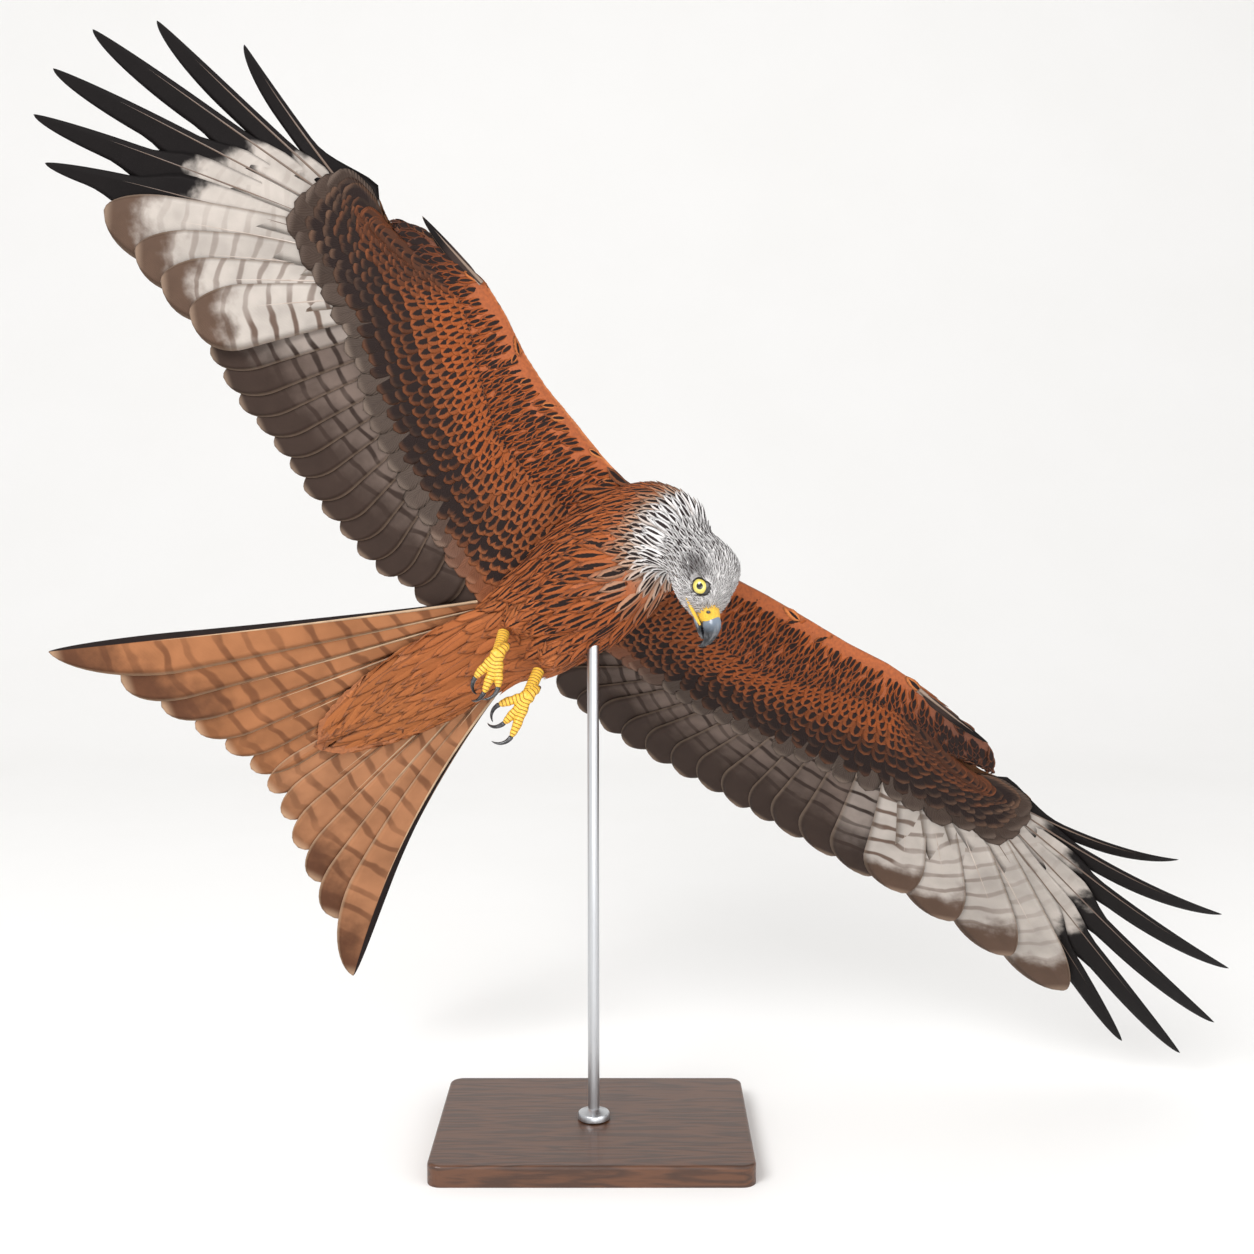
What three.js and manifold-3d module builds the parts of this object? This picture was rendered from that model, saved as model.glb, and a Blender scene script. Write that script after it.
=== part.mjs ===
// A life-size red kite on a display stand, in millimetres with +Z up.
// The bird is modelled level, with x to its bill, y to its left and z to its back, and is then
// climbed, turned and banked as one group. The origin is the middle of the base's underside.
import * as THREE from 'three';
import { mergeVertices } from 'three/addons/utils/BufferGeometryUtils.js';
import Module from 'manifold-3d';

const wasm = await Module();
wasm.setup();

// Bird on its stand: height of the body's middle over the floor and the attitude of the body.
const BIRD_PLACE = [18, 0, 506];
const BIRD_HEADING = -34;
const BIRD_CLIMB = 37;
const BIRD_BANK = 65;
const GAP = 0.3;

// Stand: a wooden base and one steel rod.
const BASE_SIZE = [270, 200, 18];
const BASE_CORNER = 12;
const ROD_RADIUS = 5;
const ROD_TOP = 470;
const COLLAR_RADIUS = 14;
const COLLAR_HEIGHT = 10;

// Trunk and neck: stations along the spine as [x, y, z, half width, half height].
const SPINE = [
  [-160, -22, -16, 26, 10],
  [-135, -14, -11, 41, 20],
  [-108, -6, -8, 49, 34],
  [-70, -1, -5, 53, 45],
  [-25, 0, -4, 57, 51],
  [20, 0, -2, 53, 49],
  [48, 2, -3, 46, 43],
  [63, 8, -14, 38, 36],
  [73, 20, -29, 32, 32],
  [80, 33, -40, 28, 29],
];
const TRUNK_START = -120;
const NECK_CUT = { point: [50, 2, -2], direction: [0.92, 0.2, -0.34] };

// Head frame: x to the bill, y to the head's left, z to the crown, from the middle of the skull.
const HEAD_PLACE = [76, 53, -55];
const HEAD_TURN = [100, 41, 80];
// Head stations as [forward, rise, half width, half height].
const HEAD = [
  [-40, 3, 4, 4],
  [-34, 4, 19, 21],
  [-22, 4.5, 25, 27.5],
  [-6, 5, 27, 30],
  [8, 3.5, 24, 27],
  [19, -0.5, 17, 19.5],
  [26, -3, 11.5, 12.5],
  [31, -4, 8, 9],
];
const EYE_PLACE = [12.5, 14, 3.5];
const EYE_RADIUS = 8.6;
const CERE = [
  [23, -2, 10, 10.5],
  [29, -2.5, 8.6, 9.4],
  [36, -2.5, 6.8, 8.2],
  [38.5, -3.5, 5.6, 7.4],
];
const UPPER_BILL = [
  [33, -1.5, 5.5, 7],
  [40, -2.5, 5.4, 7.6],
  [47, -5, 4.6, 7.2],
  [53, -10, 3.2, 5.2],
  [56, -16, 1.7, 2.8],
  [55.4, -21, 0.5, 0.7],
];
const LOWER_BILL = [
  [26, -12.2, 5.5, 2.6],
  [34, -12.4, 5, 2.9],
  [43, -12.6, 3.8, 2.4],
  [48.5, -12.8, 1.4, 1],
];

// Wings. Angles are in degrees from straight outward, positive toward the head, and lengths run
// from the flesh of the wing to the feather's tip. Primaries are numbered from the wrist outward
// and secondaries from the wrist inward.
const SHOULDER = [48, 40, 21];
const HAND_LENGTH = 98;
const FEATHER_SETBACK = 8;
const WINGS = {
  right: {
    side: -1, raise: 5, twist: 10, wrist: [4, 212], elbow: [-56, 106], handAngle: -8,
    primaryAngle: [-50, -45, -41, -36, -32, -27, -21, -14, -7, 3],
    primaryLength: [238, 256, 274, 300, 358, 376, 369, 347, 295, 210],
    secondaryAngle: [-58, -61, -65, -68, -72, -76, -80, -85, -90, -95, -100, -105],
    secondaryLength: [232, 226, 219, 209, 201, 195, 192, 186, 181, 178, 173, 162],
    tertialAngle: [-107, -106, -100, -94],
    tertialLength: [158, 142, 122, 100],
    edge: [[10, -30], [3, 25], [2, 76], [4, 119], [13, 157], [23, 190], [22, 214], [15, 258], [9, 303]],
    slot: [0.72, 0.64, 0.52, 0.41, 0.32],
  },
  left: {
    side: 1, raise: 5, twist: -18, wrist: [46, 218], elbow: [-52, 108], handAngle: 2,
    primaryAngle: [-42, -33, -24, -18, -15, -10, -4, 4, 12, 20],
    primaryLength: [222, 243, 279, 323, 398, 427, 398, 339, 279, 202],
    secondaryAngle: [-51, -58, -65, -71, -75, -81, -86, -91, -96, -100, -106, -110],
    secondaryLength: [226, 217, 212, 209, 208, 207, 210, 213, 218, 218, 219, 219],
    tertialAngle: [-112, -108, -100, -94],
    tertialLength: [180, 154, 126, 96],
    edge: [[0, -30], [10, 30], [37, 99], [58, 159], [73, 190], [77, 218], [83, 285], [88, 323]],
    slot: [0.62, 0.55, 0.52, 0.46, 0.38],
  },
};
const SECONDARIES = 12;
const TERTIALS = 4;
const LANES = 3;
const TERTIAL_SPACING = 30;
const INNER_PRIMARIES = 4;
const PRIMARIES = 10;
// Upward bend of a feather from root to tip, in radians: secondaries, then primaries by rank.
const SECONDARY_BEND = -0.05;
const PRIMARY_BEND = [-0.15, 0.25, 0.5];
const SWEEP_BACK = 0.08;
const FEATHER_STEPS = 12;
const EDGE_REACH = 0.3;
const VANE_ROOT = 4.6;
const VANE_EDGE = 1;
const TIP_ROUND = [9, 13];
// Fingers: widths behind and ahead of the shaft for the fifth to tenth primary.
const TRAILING_VANE = [13, 14, 14, 13, 12, 8.5];
const LEADING_VANE = [7, 3.4, 3, 3, 3, 3];
const FINGER_ROOT = 0.05;
// Wing arm: depth of flesh and coverts from the shoulder to the end of the hand.
const ARM_DEPTH = [34, 30, 21, 16, 12, 8];
const ARM_LEAD = 1.2;
const ALULA = { length: 74, width: 13, depth: 3, start: 0.7, angle: 7, lead: -1 };

// Tail: a forked fan of twelve feathers, numbered from the middle outward.
const TAIL_PLACE = [-93, -9, 8];
const TAIL_TURN = [12.7, -19.5, 11.2];
const TAIL_LENGTH = [302, 310, 324, 342, 366, 417];
const TAIL_FAN = 25.3;
const TAIL_CURL = { left: 30.5, right: 3.4 };
const TAIL_SPACING = 3.5;
const TAIL_START = 0.16;
const OUTER_TAIL_EDGE = { left: 0.22, right: 0.46 };
// Where a feather ends across its width, from the inner edge to the outer one, as a fraction.
const TAIL_TIP = [0.955, 0.985, 1, 0.99, 0.96];
const OUTER_TAIL_TIP = [0.84, 0.91, 0.97, 1, 0.96];
// Coverts under and over the tail, in the tail's own frame as [forward, rise, half width, half height].
const UNDERTAIL = [
  [-10, -24, 22, 8],
  [-36, -19, 42, 16],
  [-80, -12.6, 44, 10.4],
  [-130, -8.4, 43, 6.4],
  [-180, -5.6, 37, 3.8],
  [-222, -4, 24, 2.3],
  [-246, -3.4, 5, 1.6],
];
const OVERTAIL = [
  [-10, 16, 20, 6],
  [-36, 12.5, 37, 9.4],
  [-80, 8.2, 41, 6.2],
  [-120, 5, 34, 3.2],
  [-150, 3.4, 6, 1.6],
];

// Legs in the bird's frame: the thigh's top, where its feathers end, the toes' root and their
// pointing direction. Toes are [sideways angle, length, curl, turn of the claw], the hind toe last.
const LEGS = {
  right: {
    hip: [-52, -22, -26], cuff: [-99, -20, -50], ball: [-101, -12, -76], way: [-0.68, 0.39, -0.62],
    toes: [[-27, 27, 12, -49], [6, 34, 12, 39], [29, 28, 12, 84], [160, 15, 60, 0]],
  },
  left: {
    hip: [-54, 24, -26], cuff: [-101, 24, -50], ball: [-109, 31, -76], way: [-0.73, 0.25, -0.63],
    toes: [[-49, 25, 12, -69], [-6, 30, 12, 51], [15, 37, 12, 83], [160, 15, 60, 0]],
  },
};
const THIGH_RADIUS = 19;
const SHANK_RADIUS = 5.2;
const BALL_RADIUS = 6.6;
const TOE_RADIUS = 4.2;
// The direction that the backs of the feet face.
const FOOT_BACK = [-0.497, 0.108, 0.861];
const CLAW = { length: 20, radius: 2.6, bend: 1.7 };

const COLOUR = {
  head: 0xc9c3bd,
  body: 0xa9582b,
  bill: 0x3b4048,
  yellow: 0xe3ad22,
  eye: 0xe6d873,
  claw: 0x1d1c20,
  covert: 0x8a4524,
  vane: 0x54433a,
  pale: 0xcfc8bf,
  finger: 0x1f191a,
  tail: 0xc0733f,
  wood: 0x6a4a33,
  steel: 0xb8bcc0,
};

const rad = THREE.MathUtils.degToRad;
const vec = (list) => new THREE.Vector3(...list);

function material(color, roughness, metalness = 0) {
  return new THREE.MeshStandardMaterial({ color, roughness, metalness });
}

// Reads a table of stations at a fraction from 0 to 1, along a smooth curve through its rows.
function station(table, fraction) {
  const at = fraction * (table.length - 1);
  const row = Math.min(Math.floor(at), table.length - 2);
  const pick = (index) => table[THREE.MathUtils.clamp(index, 0, table.length - 1)];
  const u = at - row;
  return table[0].map((_, column) => {
    const [a, b, c, d] = [-1, 0, 1, 2].map((step) => pick(row + step)[column]);
    const slope = (c - a) / 2;
    const next = (d - b) / 2;
    const lift = 2 * b - 2 * c + slope + next;
    return ((lift * u - 3 * b + 3 * c - 2 * slope - next) * u + slope) * u + b;
  });
}

// Reads a list between its entries, and up to a given reach beyond its ends.
function lerpList(list, at, reach = 0) {
  const place = THREE.MathUtils.clamp(at, -reach, list.length - 1 + reach);
  const low = THREE.MathUtils.clamp(Math.floor(place), 0, list.length - 2);
  return THREE.MathUtils.lerp(list[low], list[low + 1], place - low);
}

// Moves every vertex of a closed three.js form to a new place and keeps the form closed.
function reshape(geometry, place) {
  geometry.deleteAttribute('normal');
  geometry.deleteAttribute('uv');
  const merged = mergeVertices(geometry, 1e-5);
  const position = merged.getAttribute('position');
  for (let i = 0; i < position.count; i += 1) {
    const moved = place(new THREE.Vector3().fromBufferAttribute(position, i));
    position.setXYZ(i, moved.x, moved.y, moved.z);
  }
  return merged;
}

// A rounded body: rings of a sphere laid along a path, where place(t, angle, radius) is the point
// at the fraction t of the length, with radius 0 at both ends and 1 between them.
function roundForm(sides, rings, place) {
  const ball = new THREE.SphereGeometry(1, sides, rings);
  return reshape(ball, (point) => {
    const t = Math.acos(THREE.MathUtils.clamp(point.y, -1, 1)) / Math.PI;
    const reach = Math.hypot(point.x, point.z);
    const end = reach < 1e-4;
    return place(t, end ? 0 : Math.atan2(point.z, point.x), end ? 0 : 1);
  });
}

// A rounded body in its own frame: stations give [forward, rise, half width, half height].
function stationForm(table, sides, rings, grow = 0) {
  return roundForm(sides, rings, (t, angle, radius) => {
    const [forward, rise, wide, high] = station(table, t);
    const push = radius ? 0 : Math.sign(t - 0.5) * grow;
    const across = (wide + grow) * radius * Math.cos(angle);
    return new THREE.Vector3(forward + push, across, rise + (high + grow) * radius * Math.sin(angle));
  });
}

// A thin plate: columns u and rows v from 0 to 1 on its face, and depth from -1 below to 1 above.
function plateForm(columns, rows, place) {
  const box = new THREE.BoxGeometry(1, 1, 1, columns, rows, 1);
  return reshape(box, (point) => place(point.x + 0.5, point.y + 0.5, point.z * 2));
}

function toSolid(geometry, matrix = new THREE.Matrix4()) {
  const plain = geometry.clone();
  plain.deleteAttribute('normal');
  plain.deleteAttribute('uv');
  plain.applyMatrix4(matrix);
  const merged = mergeVertices(plain, 1e-4);
  const triVerts = new Uint32Array(merged.index.array);
  const vertProperties = new Float32Array(merged.getAttribute('position').array);
  const solid = new wasm.Manifold(new wasm.Mesh({ numProp: 3, vertProperties, triVerts }));
  if (solid.volume() >= 0) return solid;
  for (let i = 0; i < triVerts.length; i += 3) {
    [triVerts[i], triVerts[i + 1]] = [triVerts[i + 1], triVerts[i]];
  }
  return new wasm.Manifold(new wasm.Mesh({ numProp: 3, vertProperties, triVerts }));
}

function toGeometry(solid) {
  const mesh = solid.getMesh();
  const geometry = new THREE.BufferGeometry();
  geometry.setAttribute('position', new THREE.BufferAttribute(mesh.vertProperties, mesh.numProp));
  geometry.setIndex(new THREE.BufferAttribute(mesh.triVerts, 1));
  geometry.computeVertexNormals();
  return geometry;
}

// The largest single body of a cut solid, so that no loose sliver stays beside it.
function mainBody(solid) {
  return solid.decompose().sort((a, b) => b.volume() - a.volume())[0];
}

const bird = new THREE.Group();
bird.rotation.set(rad(-BIRD_BANK), rad(-BIRD_CLIMB), rad(BIRD_HEADING), 'ZYX');
bird.position.set(...BIRD_PLACE);
bird.updateMatrixWorld(true);

const kite = new THREE.Group();
kite.add(bird);

function addPart(group, name, solid, finish) {
  const mesh = new THREE.Mesh(toGeometry(mainBody(solid)), finish);
  mesh.name = name;
  group.add(mesh);
}

// The trunk and neck as one form around a curved spine.
function bodyForm(grow) {
  return roundForm(18, 13, (t, angle, radius) => {
    const [x, y, z, wide, high] = station(SPINE, t);
    const ahead = vec(station(SPINE, Math.min(t + 0.02, 1)).slice(0, 3));
    const behind = vec(station(SPINE, Math.max(t - 0.02, 0)).slice(0, 3));
    const along = ahead.sub(behind).normalize();
    const side = new THREE.Vector3(0, 0, 1).cross(along).normalize();
    const up = along.clone().cross(side);
    const centre = new THREE.Vector3(x, y, z);
    centre.addScaledVector(along, radius ? 0 : Math.sign(t - 0.5) * (grow + 2));
    centre.addScaledVector(side, (wide + grow) * radius * Math.cos(angle));
    return centre.addScaledVector(up, (high + grow) * radius * Math.sin(angle));
  });
}

// A half space as a large block whose flat face passes through a point, facing a direction.
function halfSpace(point, direction) {
  const reach = 1200;
  const block = new THREE.BoxGeometry(reach, reach, reach);
  const turn = new THREE.Quaternion();
  const facing = vec(direction).normalize();
  turn.setFromUnitVectors(new THREE.Vector3(0, 0, 1), facing);
  const middle = vec(point).addScaledVector(facing, reach / 2);
  return toSolid(block, new THREE.Matrix4().compose(middle, turn, new THREE.Vector3(1, 1, 1)));
}

const headMatrix = new THREE.Matrix4().makeRotationFromEuler(
  new THREE.Euler(rad(HEAD_TURN[2]), rad(HEAD_TURN[1]), rad(HEAD_TURN[0]), 'ZYX'));
headMatrix.setPosition(...HEAD_PLACE);

const headSolid = toSolid(stationForm(HEAD, 16, 10), headMatrix);
const headClear = toSolid(stationForm(HEAD, 16, 10, GAP), headMatrix);
const bodySolid = toSolid(bodyForm(0));
const bodyClear = toSolid(bodyForm(GAP));

function eyeSolid(side, grow = 0) {
  const [forward, out, rise] = EYE_PLACE;
  const ball = new THREE.SphereGeometry(EYE_RADIUS + grow, 12, 6);
  ball.translate(forward, side * out, rise);
  return toSolid(ball, headMatrix);
}

function addHead() {
  const cere = toSolid(stationForm(CERE, 12, 4), headMatrix);
  const cereClear = toSolid(stationForm(CERE, 12, 4, GAP), headMatrix);
  const upper = toSolid(stationForm(UPPER_BILL, 10, 8), headMatrix);
  const lower = toSolid(stationForm(LOWER_BILL, 8, 5), headMatrix);
  const lowerClear = toSolid(stationForm(LOWER_BILL, 8, 5, GAP), headMatrix);
  const head = headSolid.subtract(eyeSolid(1, GAP)).subtract(eyeSolid(-1, GAP))
    .subtract(lowerClear);
  addPart(bird, 'head', head, material(COLOUR.head, 0.85));
  addPart(bird, 'eye_left', eyeSolid(1), material(COLOUR.eye, 0.08));
  addPart(bird, 'eye_right', eyeSolid(-1), material(COLOUR.eye, 0.08));
  addPart(bird, 'cere', cere.subtract(headClear).subtract(lowerClear), material(COLOUR.yellow, 0.45));
  addPart(bird, 'bill_upper', upper.subtract(cereClear).subtract(headClear).subtract(lowerClear),
    material(COLOUR.bill, 0.3));
  addPart(bird, 'bill_lower', lower, material(COLOUR.bill, 0.35));
}

function addBody(rodClear) {
  const [nx, ny, nz] = NECK_CUT.direction;
  const reverse = [-nx, -ny, -nz];
  const shift = (point, direction) => vec(point).addScaledVector(vec(direction), GAP / 2).toArray();
  const front = halfSpace(shift(NECK_CUT.point, NECK_CUT.direction), NECK_CUT.direction);
  const behindNeck = halfSpace(shift(NECK_CUT.point, reverse), reverse);
  const ahead = halfSpace([TRUNK_START + GAP / 2, 0, 0], [1, 0, 0]);
  const rear = halfSpace([TRUNK_START - GAP / 2, 0, 0], [-1, 0, 0]);
  addPart(bird, 'neck', bodySolid.intersect(front).subtract(headClear), material(COLOUR.body, 0.9));
  addPart(bird, 'trunk', bodySolid.intersect(behindNeck).intersect(ahead).subtract(rodClear),
    material(COLOUR.body, 0.9));
  addPart(bird, 'tail_base', bodySolid.intersect(rear), material(COLOUR.body, 0.9));
}

// Positions across a wing count from the innermost tertial outward, one unit to a feather.
function wingTable(wing) {
  const wrist = vec([...wing.wrist, 0]);
  const elbow = vec([...wing.elbow, 0]);
  const hand = new THREE.Vector3(Math.sin(rad(wing.handAngle)), Math.cos(rad(wing.handAngle)), 0);
  const arm = wrist.clone().sub(elbow);
  const armBack = new THREE.Vector3(-arm.y, arm.x, 0).normalize();
  const handBack = new THREE.Vector3(-hand.y, hand.x, 0);
  const rows = [];
  for (let i = TERTIALS; i >= 1; i -= 1) {
    const base = elbow.clone().add(new THREE.Vector3(-2, -TERTIAL_SPACING * (i - 0.5), 0));
    base.addScaledVector(armBack, FEATHER_SETBACK);
    const [angle, length] = [wing.tertialAngle[i - 1], wing.tertialLength[i - 1]];
    rows.push({ base, angle, length, bend: SECONDARY_BEND, round: TIP_ROUND[0] });
  }
  for (let i = SECONDARIES; i >= 1; i -= 1) {
    const base = wrist.clone().addScaledVector(arm, -(i - 0.5) / SECONDARIES);
    base.addScaledVector(armBack, FEATHER_SETBACK);
    const [angle, length] = [wing.secondaryAngle[i - 1], wing.secondaryLength[i - 1]];
    rows.push({ base, angle, length, bend: SECONDARY_BEND, round: TIP_ROUND[0] });
  }
  for (let i = 1; i <= PRIMARIES; i += 1) {
    const base = wrist.clone().addScaledVector(hand, (HAND_LENGTH * (i - 0.5)) / PRIMARIES);
    base.addScaledVector(handBack, FEATHER_SETBACK);
    const rank = (i - 1) / (PRIMARIES - 1);
    const bend = PRIMARY_BEND[0] + PRIMARY_BEND[1] * rank + PRIMARY_BEND[2] * rank * rank;
    const [angle, length] = [wing.primaryAngle[i - 1], wing.primaryLength[i - 1]];
    rows.push({ base, angle, length, bend, round: TIP_ROUND[1] });
  }
  return rows;
}

// The line of a feather's shaft at any position across the wing, as a list of points.
function shaftLine(rows, position, shorten = 0) {
  const pick = (read) => lerpList(rows.map(read), position - 0.5, EDGE_REACH);
  const [angle, bend] = [rad(pick((row) => row.angle)), pick((row) => row.bend)];
  const length = pick((row) => row.length) - shorten;
  const point = new THREE.Vector3(pick((row) => row.base.x), pick((row) => row.base.y), 0);
  const line = [point.clone()];
  for (let step = 0; step < FEATHER_STEPS; step += 1) {
    const curve = ((step + 0.5) / FEATHER_STEPS) ** 1.5;
    const heading = angle - SWEEP_BACK * curve;
    const lift = bend * curve;
    const way = new THREE.Vector3(Math.sin(heading), Math.cos(heading), 0).multiplyScalar(Math.cos(lift));
    way.z = Math.sin(lift);
    point.addScaledVector(way, length / FEATHER_STEPS);
    line.push(point.clone());
  }
  return line;
}

function alongLine(line, fraction) {
  const at = THREE.MathUtils.clamp(fraction, 0, 1) * (line.length - 1);
  const low = Math.min(Math.floor(at), line.length - 2);
  return line[low].clone().lerp(line[low + 1], at - low);
}

// Half the thickness of the wing's sheet, from its root to the thin tips.
function vaneDepth(fraction) {
  return THREE.MathUtils.lerp(VANE_ROOT, VANE_EDGE, Math.min(1, fraction * 1.5) ** 0.7) / 2;
}

// Evenly spaced positions between two positions.
function spaced(first, last, count) {
  return Array.from({ length: count + 1 }, (_, i) => THREE.MathUtils.lerp(first, last, i / count));
}

// A scalloped sheet of feathers over a list of positions; reach(position) is its outer fraction.
function sheetForm(rows, stops, steps, reach = null, grow = 0) {
  const lines = new Map();
  const lineAt = (position) => {
    const key = position.toFixed(4);
    if (!lines.has(key)) {
      const inside = THREE.MathUtils.clamp(position - 0.001, 0.001, rows.length - 0.001);
      const row = rows[Math.floor(inside)];
      const off = Math.min(1, Math.abs(inside - Math.floor(inside) - 0.5) * 2);
      const slotted = reach && reach(position) < 1;
      const between = lerpList(rows.map((each) => each.length), position - 0.5, EDGE_REACH);
      const over = Math.max(0, between - row.length) + row.round * off * off;
      lines.set(key, shaftLine(rows, position, slotted ? 0 : over));
    }
    return lines.get(key);
  };
  return plateForm(stops.length - 1, steps, (u, v, depth) => {
    const position = stops[Math.round(u * (stops.length - 1))];
    const outer = (reach ? reach(position) : 1) + grow / 100;
    const fraction = THREE.MathUtils.lerp(0.004, outer, v);
    const point = alongLine(lineAt(position), fraction);
    point.z += depth * (vaneDepth(fraction) + grow);
    return point;
  });
}

// Fraction of a primary's length where the open slots between the fingers start.
function slotReach(wing, position) {
  const rank = position - TERTIALS - SECONDARIES;
  if (rank <= INNER_PRIMARIES) return 1;
  return fingerStart(wing, rank);
}

function fingerStart(wing, rank) {
  const slots = wing.slot;
  return lerpList([slots[0] + 0.06, ...slots, slots[4] - 0.02], rank - INNER_PRIMARIES);
}

// One outer primary from inside the palm's edge to its tip, narrow ahead of its shaft.
function fingerForm(wing, rows, number, grow = 0) {
  const centre = TERTIALS + SECONDARIES + number - 0.5;
  const line = shaftLine(rows, centre);
  const root = fingerStart(wing, number - 0.5) - FINGER_ROOT;
  const index = number - INNER_PRIMARIES - 1;
  return plateForm(2, 5, (u, v, depth) => {
    const across = u * 2 - 1;
    const fraction = THREE.MathUtils.lerp(root, 1, v);
    const at = Math.min(fraction, 0.96);
    const way = alongLine(line, at + 0.04).sub(alongLine(line, at - 0.04)).normalize();
    const sideways = new THREE.Vector3(way.y, -way.x, 0).normalize();
    const side = across > 0 ? LEADING_VANE[index] : TRAILING_VANE[index];
    const taper = Math.min(1, 0.72 + v * 1.6) * (1 - v ** 2.6) ** 0.6;
    const width = Math.max(side * taper, 0.5) + grow;
    const point = alongLine(line, fraction).addScaledVector(sideways, across * width);
    point.z += depth * (vaneDepth(fraction) + grow);
    return point;
  });
}

// The feathered arm and hand: from the leading edge back to the roots of the flight feathers.
function armForm(wing, rows, grow = 0) {
  const edge = new THREE.CatmullRomCurve3(wing.edge.map(([x, y]) => new THREE.Vector3(x, y, 0)));
  const root = [rows[0].base.x, -30];
  const back = [root, ...rows.map((row) => [row.base.x, row.base.y])];
  const backLine = new THREE.CatmullRomCurve3(back.map(([x, y]) => new THREE.Vector3(x, y, 0)));
  return roundForm(12, 10, (t, angle, radius) => {
    const at = Math.min(t, 0.995);
    const front = edge.getPointAt(at);
    const rear = backLine.getPointAt(at);
    rear.x += ARM_LEAD - grow;
    front.x += grow;
    const depth = lerpList(ARM_DEPTH, t * (ARM_DEPTH.length - 1));
    const chord = (Math.cos(angle) * radius + 1) / 2;
    const point = rear.lerp(front, chord);
    const thick = Math.sqrt(Math.max(chord, 0)) * (1 - chord ** 3) ** 0.5 * 1.25 + 0.06;
    const round = Math.sign(Math.sin(angle)) * Math.abs(Math.sin(angle)) ** 0.35;
    point.z += (radius ? depth / 2 + grow : 0) * thick * round;
    return point;
  });
}

function alulaForm(wing) {
  const edge = new THREE.CatmullRomCurve3(wing.edge.map(([x, y]) => new THREE.Vector3(x, y, 0)));
  const start = edge.getPointAt(ALULA.start);
  const tangent = edge.getTangentAt(ALULA.start + 0.12);
  const heading = Math.atan2(tangent.x, tangent.y) + rad(ALULA.angle);
  const way = new THREE.Vector3(Math.sin(heading), Math.cos(heading), 0);
  const across = new THREE.Vector3(way.y, -way.x, 0);
  return plateForm(2, 4, (u, v, depth) => {
    const width = (ALULA.width / 2) * Math.max((1 - v ** 3) ** 0.7, 0.06);
    const point = start.clone().addScaledVector(way, v * ALULA.length);
    point.addScaledVector(across, (u * 2 - 1) * width + ALULA.lead);
    point.z += (depth * ALULA.depth) / 2 * (1 - 0.6 * v);
    return point;
  });
}

function wingMatrix(wing) {
  const matrix = new THREE.Matrix4().makeRotationX(rad(wing.raise));
  matrix.multiply(new THREE.Matrix4().makeRotationY(rad(-wing.twist)));
  matrix.setPosition(...SHOULDER);
  return new THREE.Matrix4().makeScale(1, wing.side, 1).multiply(matrix);
}

function addWing(name, wing) {
  const rows = wingTable(wing);
  const matrix = wingMatrix(wing);
  const inner = TERTIALS + SECONDARIES;
  const solid = (geometry) => toSolid(geometry, matrix);
  const arm = solid(armForm(wing, rows)).subtract(bodyClear);
  const armClear = solid(armForm(wing, rows, GAP));
  addPart(bird, `wing_arm_${name}`, arm, material(COLOUR.covert, 0.85));
  const sheet = sheetForm(rows, spaced(0, inner - 0.01, inner * LANES), 1);
  const flight = solid(sheet).subtract(bodyClear).subtract(armClear);
  addPart(bird, `secondaries_${name}`, flight, material(COLOUR.vane, 0.7));
  const slotted = inner + INNER_PRIMARIES;
  const stops = spaced(inner + 0.01, slotted, INNER_PRIMARIES * LANES);
  stops.push(...spaced(slotted + 0.3, inner + PRIMARIES, PRIMARIES - INNER_PRIMARIES));
  const palm = sheetForm(rows, stops, 3, (at) => slotReach(wing, at));
  const palmSolid = solid(palm).subtract(armClear);
  addPart(bird, `primaries_${name}`, palmSolid, material(COLOUR.pale, 0.7));
  let taken = solid(sheetForm(rows, stops, 3, (at) => slotReach(wing, at), GAP));
  for (let number = INNER_PRIMARIES + 1; number <= PRIMARIES; number += 1) {
    const finger = solid(fingerForm(wing, rows, number)).subtract(taken).subtract(palmSolid);
    addPart(bird, `primary_${number}_${name}`, finger, material(COLOUR.finger, 0.6));
    taken = taken.add(solid(fingerForm(wing, rows, number, GAP)));
  }
  addPart(bird, `alula_${name}`, solid(alulaForm(wing)).subtract(armClear),
    material(COLOUR.finger, 0.6));
}

// One tail feather as a strip of the fan with a rounded tip, bent sideways along its length.
function tailFeather(name, side, number) {
  const step = rad(TAIL_FAN) / 5.5;
  const edgeLine = (rank) => {
    const bow = rad(TAIL_CURL[name]) * (rank / 6) ** 2;
    const point = new THREE.Vector3(0, side * rank * TAIL_SPACING, 0);
    const line = [point.clone()];
    const length = lerpList([TAIL_LENGTH[0], ...TAIL_LENGTH], rank + 0.5);
    for (let i = 0; i < FEATHER_STEPS; i += 1) {
      const angle = rank * step + bow * ((i + 0.5) / FEATHER_STEPS - 0.35);
      const way = new THREE.Vector3(-Math.cos(angle), side * Math.sin(angle), 0);
      point.addScaledVector(way, length / FEATHER_STEPS);
      line.push(point.clone());
    }
    return line;
  };
  const half = 0.5 - 0.012;
  const tips = number === 6 ? OUTER_TAIL_TIP : TAIL_TIP;
  const outerEdge = number === 6 ? OUTER_TAIL_EDGE[name] : half;
  const lines = tips.map((_, i) => {
    const off = THREE.MathUtils.lerp(-half, outerEdge, i / (tips.length - 1));
    return edgeLine(number - 0.5 + off);
  });
  return plateForm(tips.length - 1, 3, (u, v, depth) => {
    const column = Math.round(u * (tips.length - 1));
    const fraction = THREE.MathUtils.lerp(TAIL_START, tips[column], v);
    const point = alongLine(lines[column], fraction);
    point.z += depth * THREE.MathUtils.lerp(1.4, 0.55, v);
    return point;
  });
}

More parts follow.
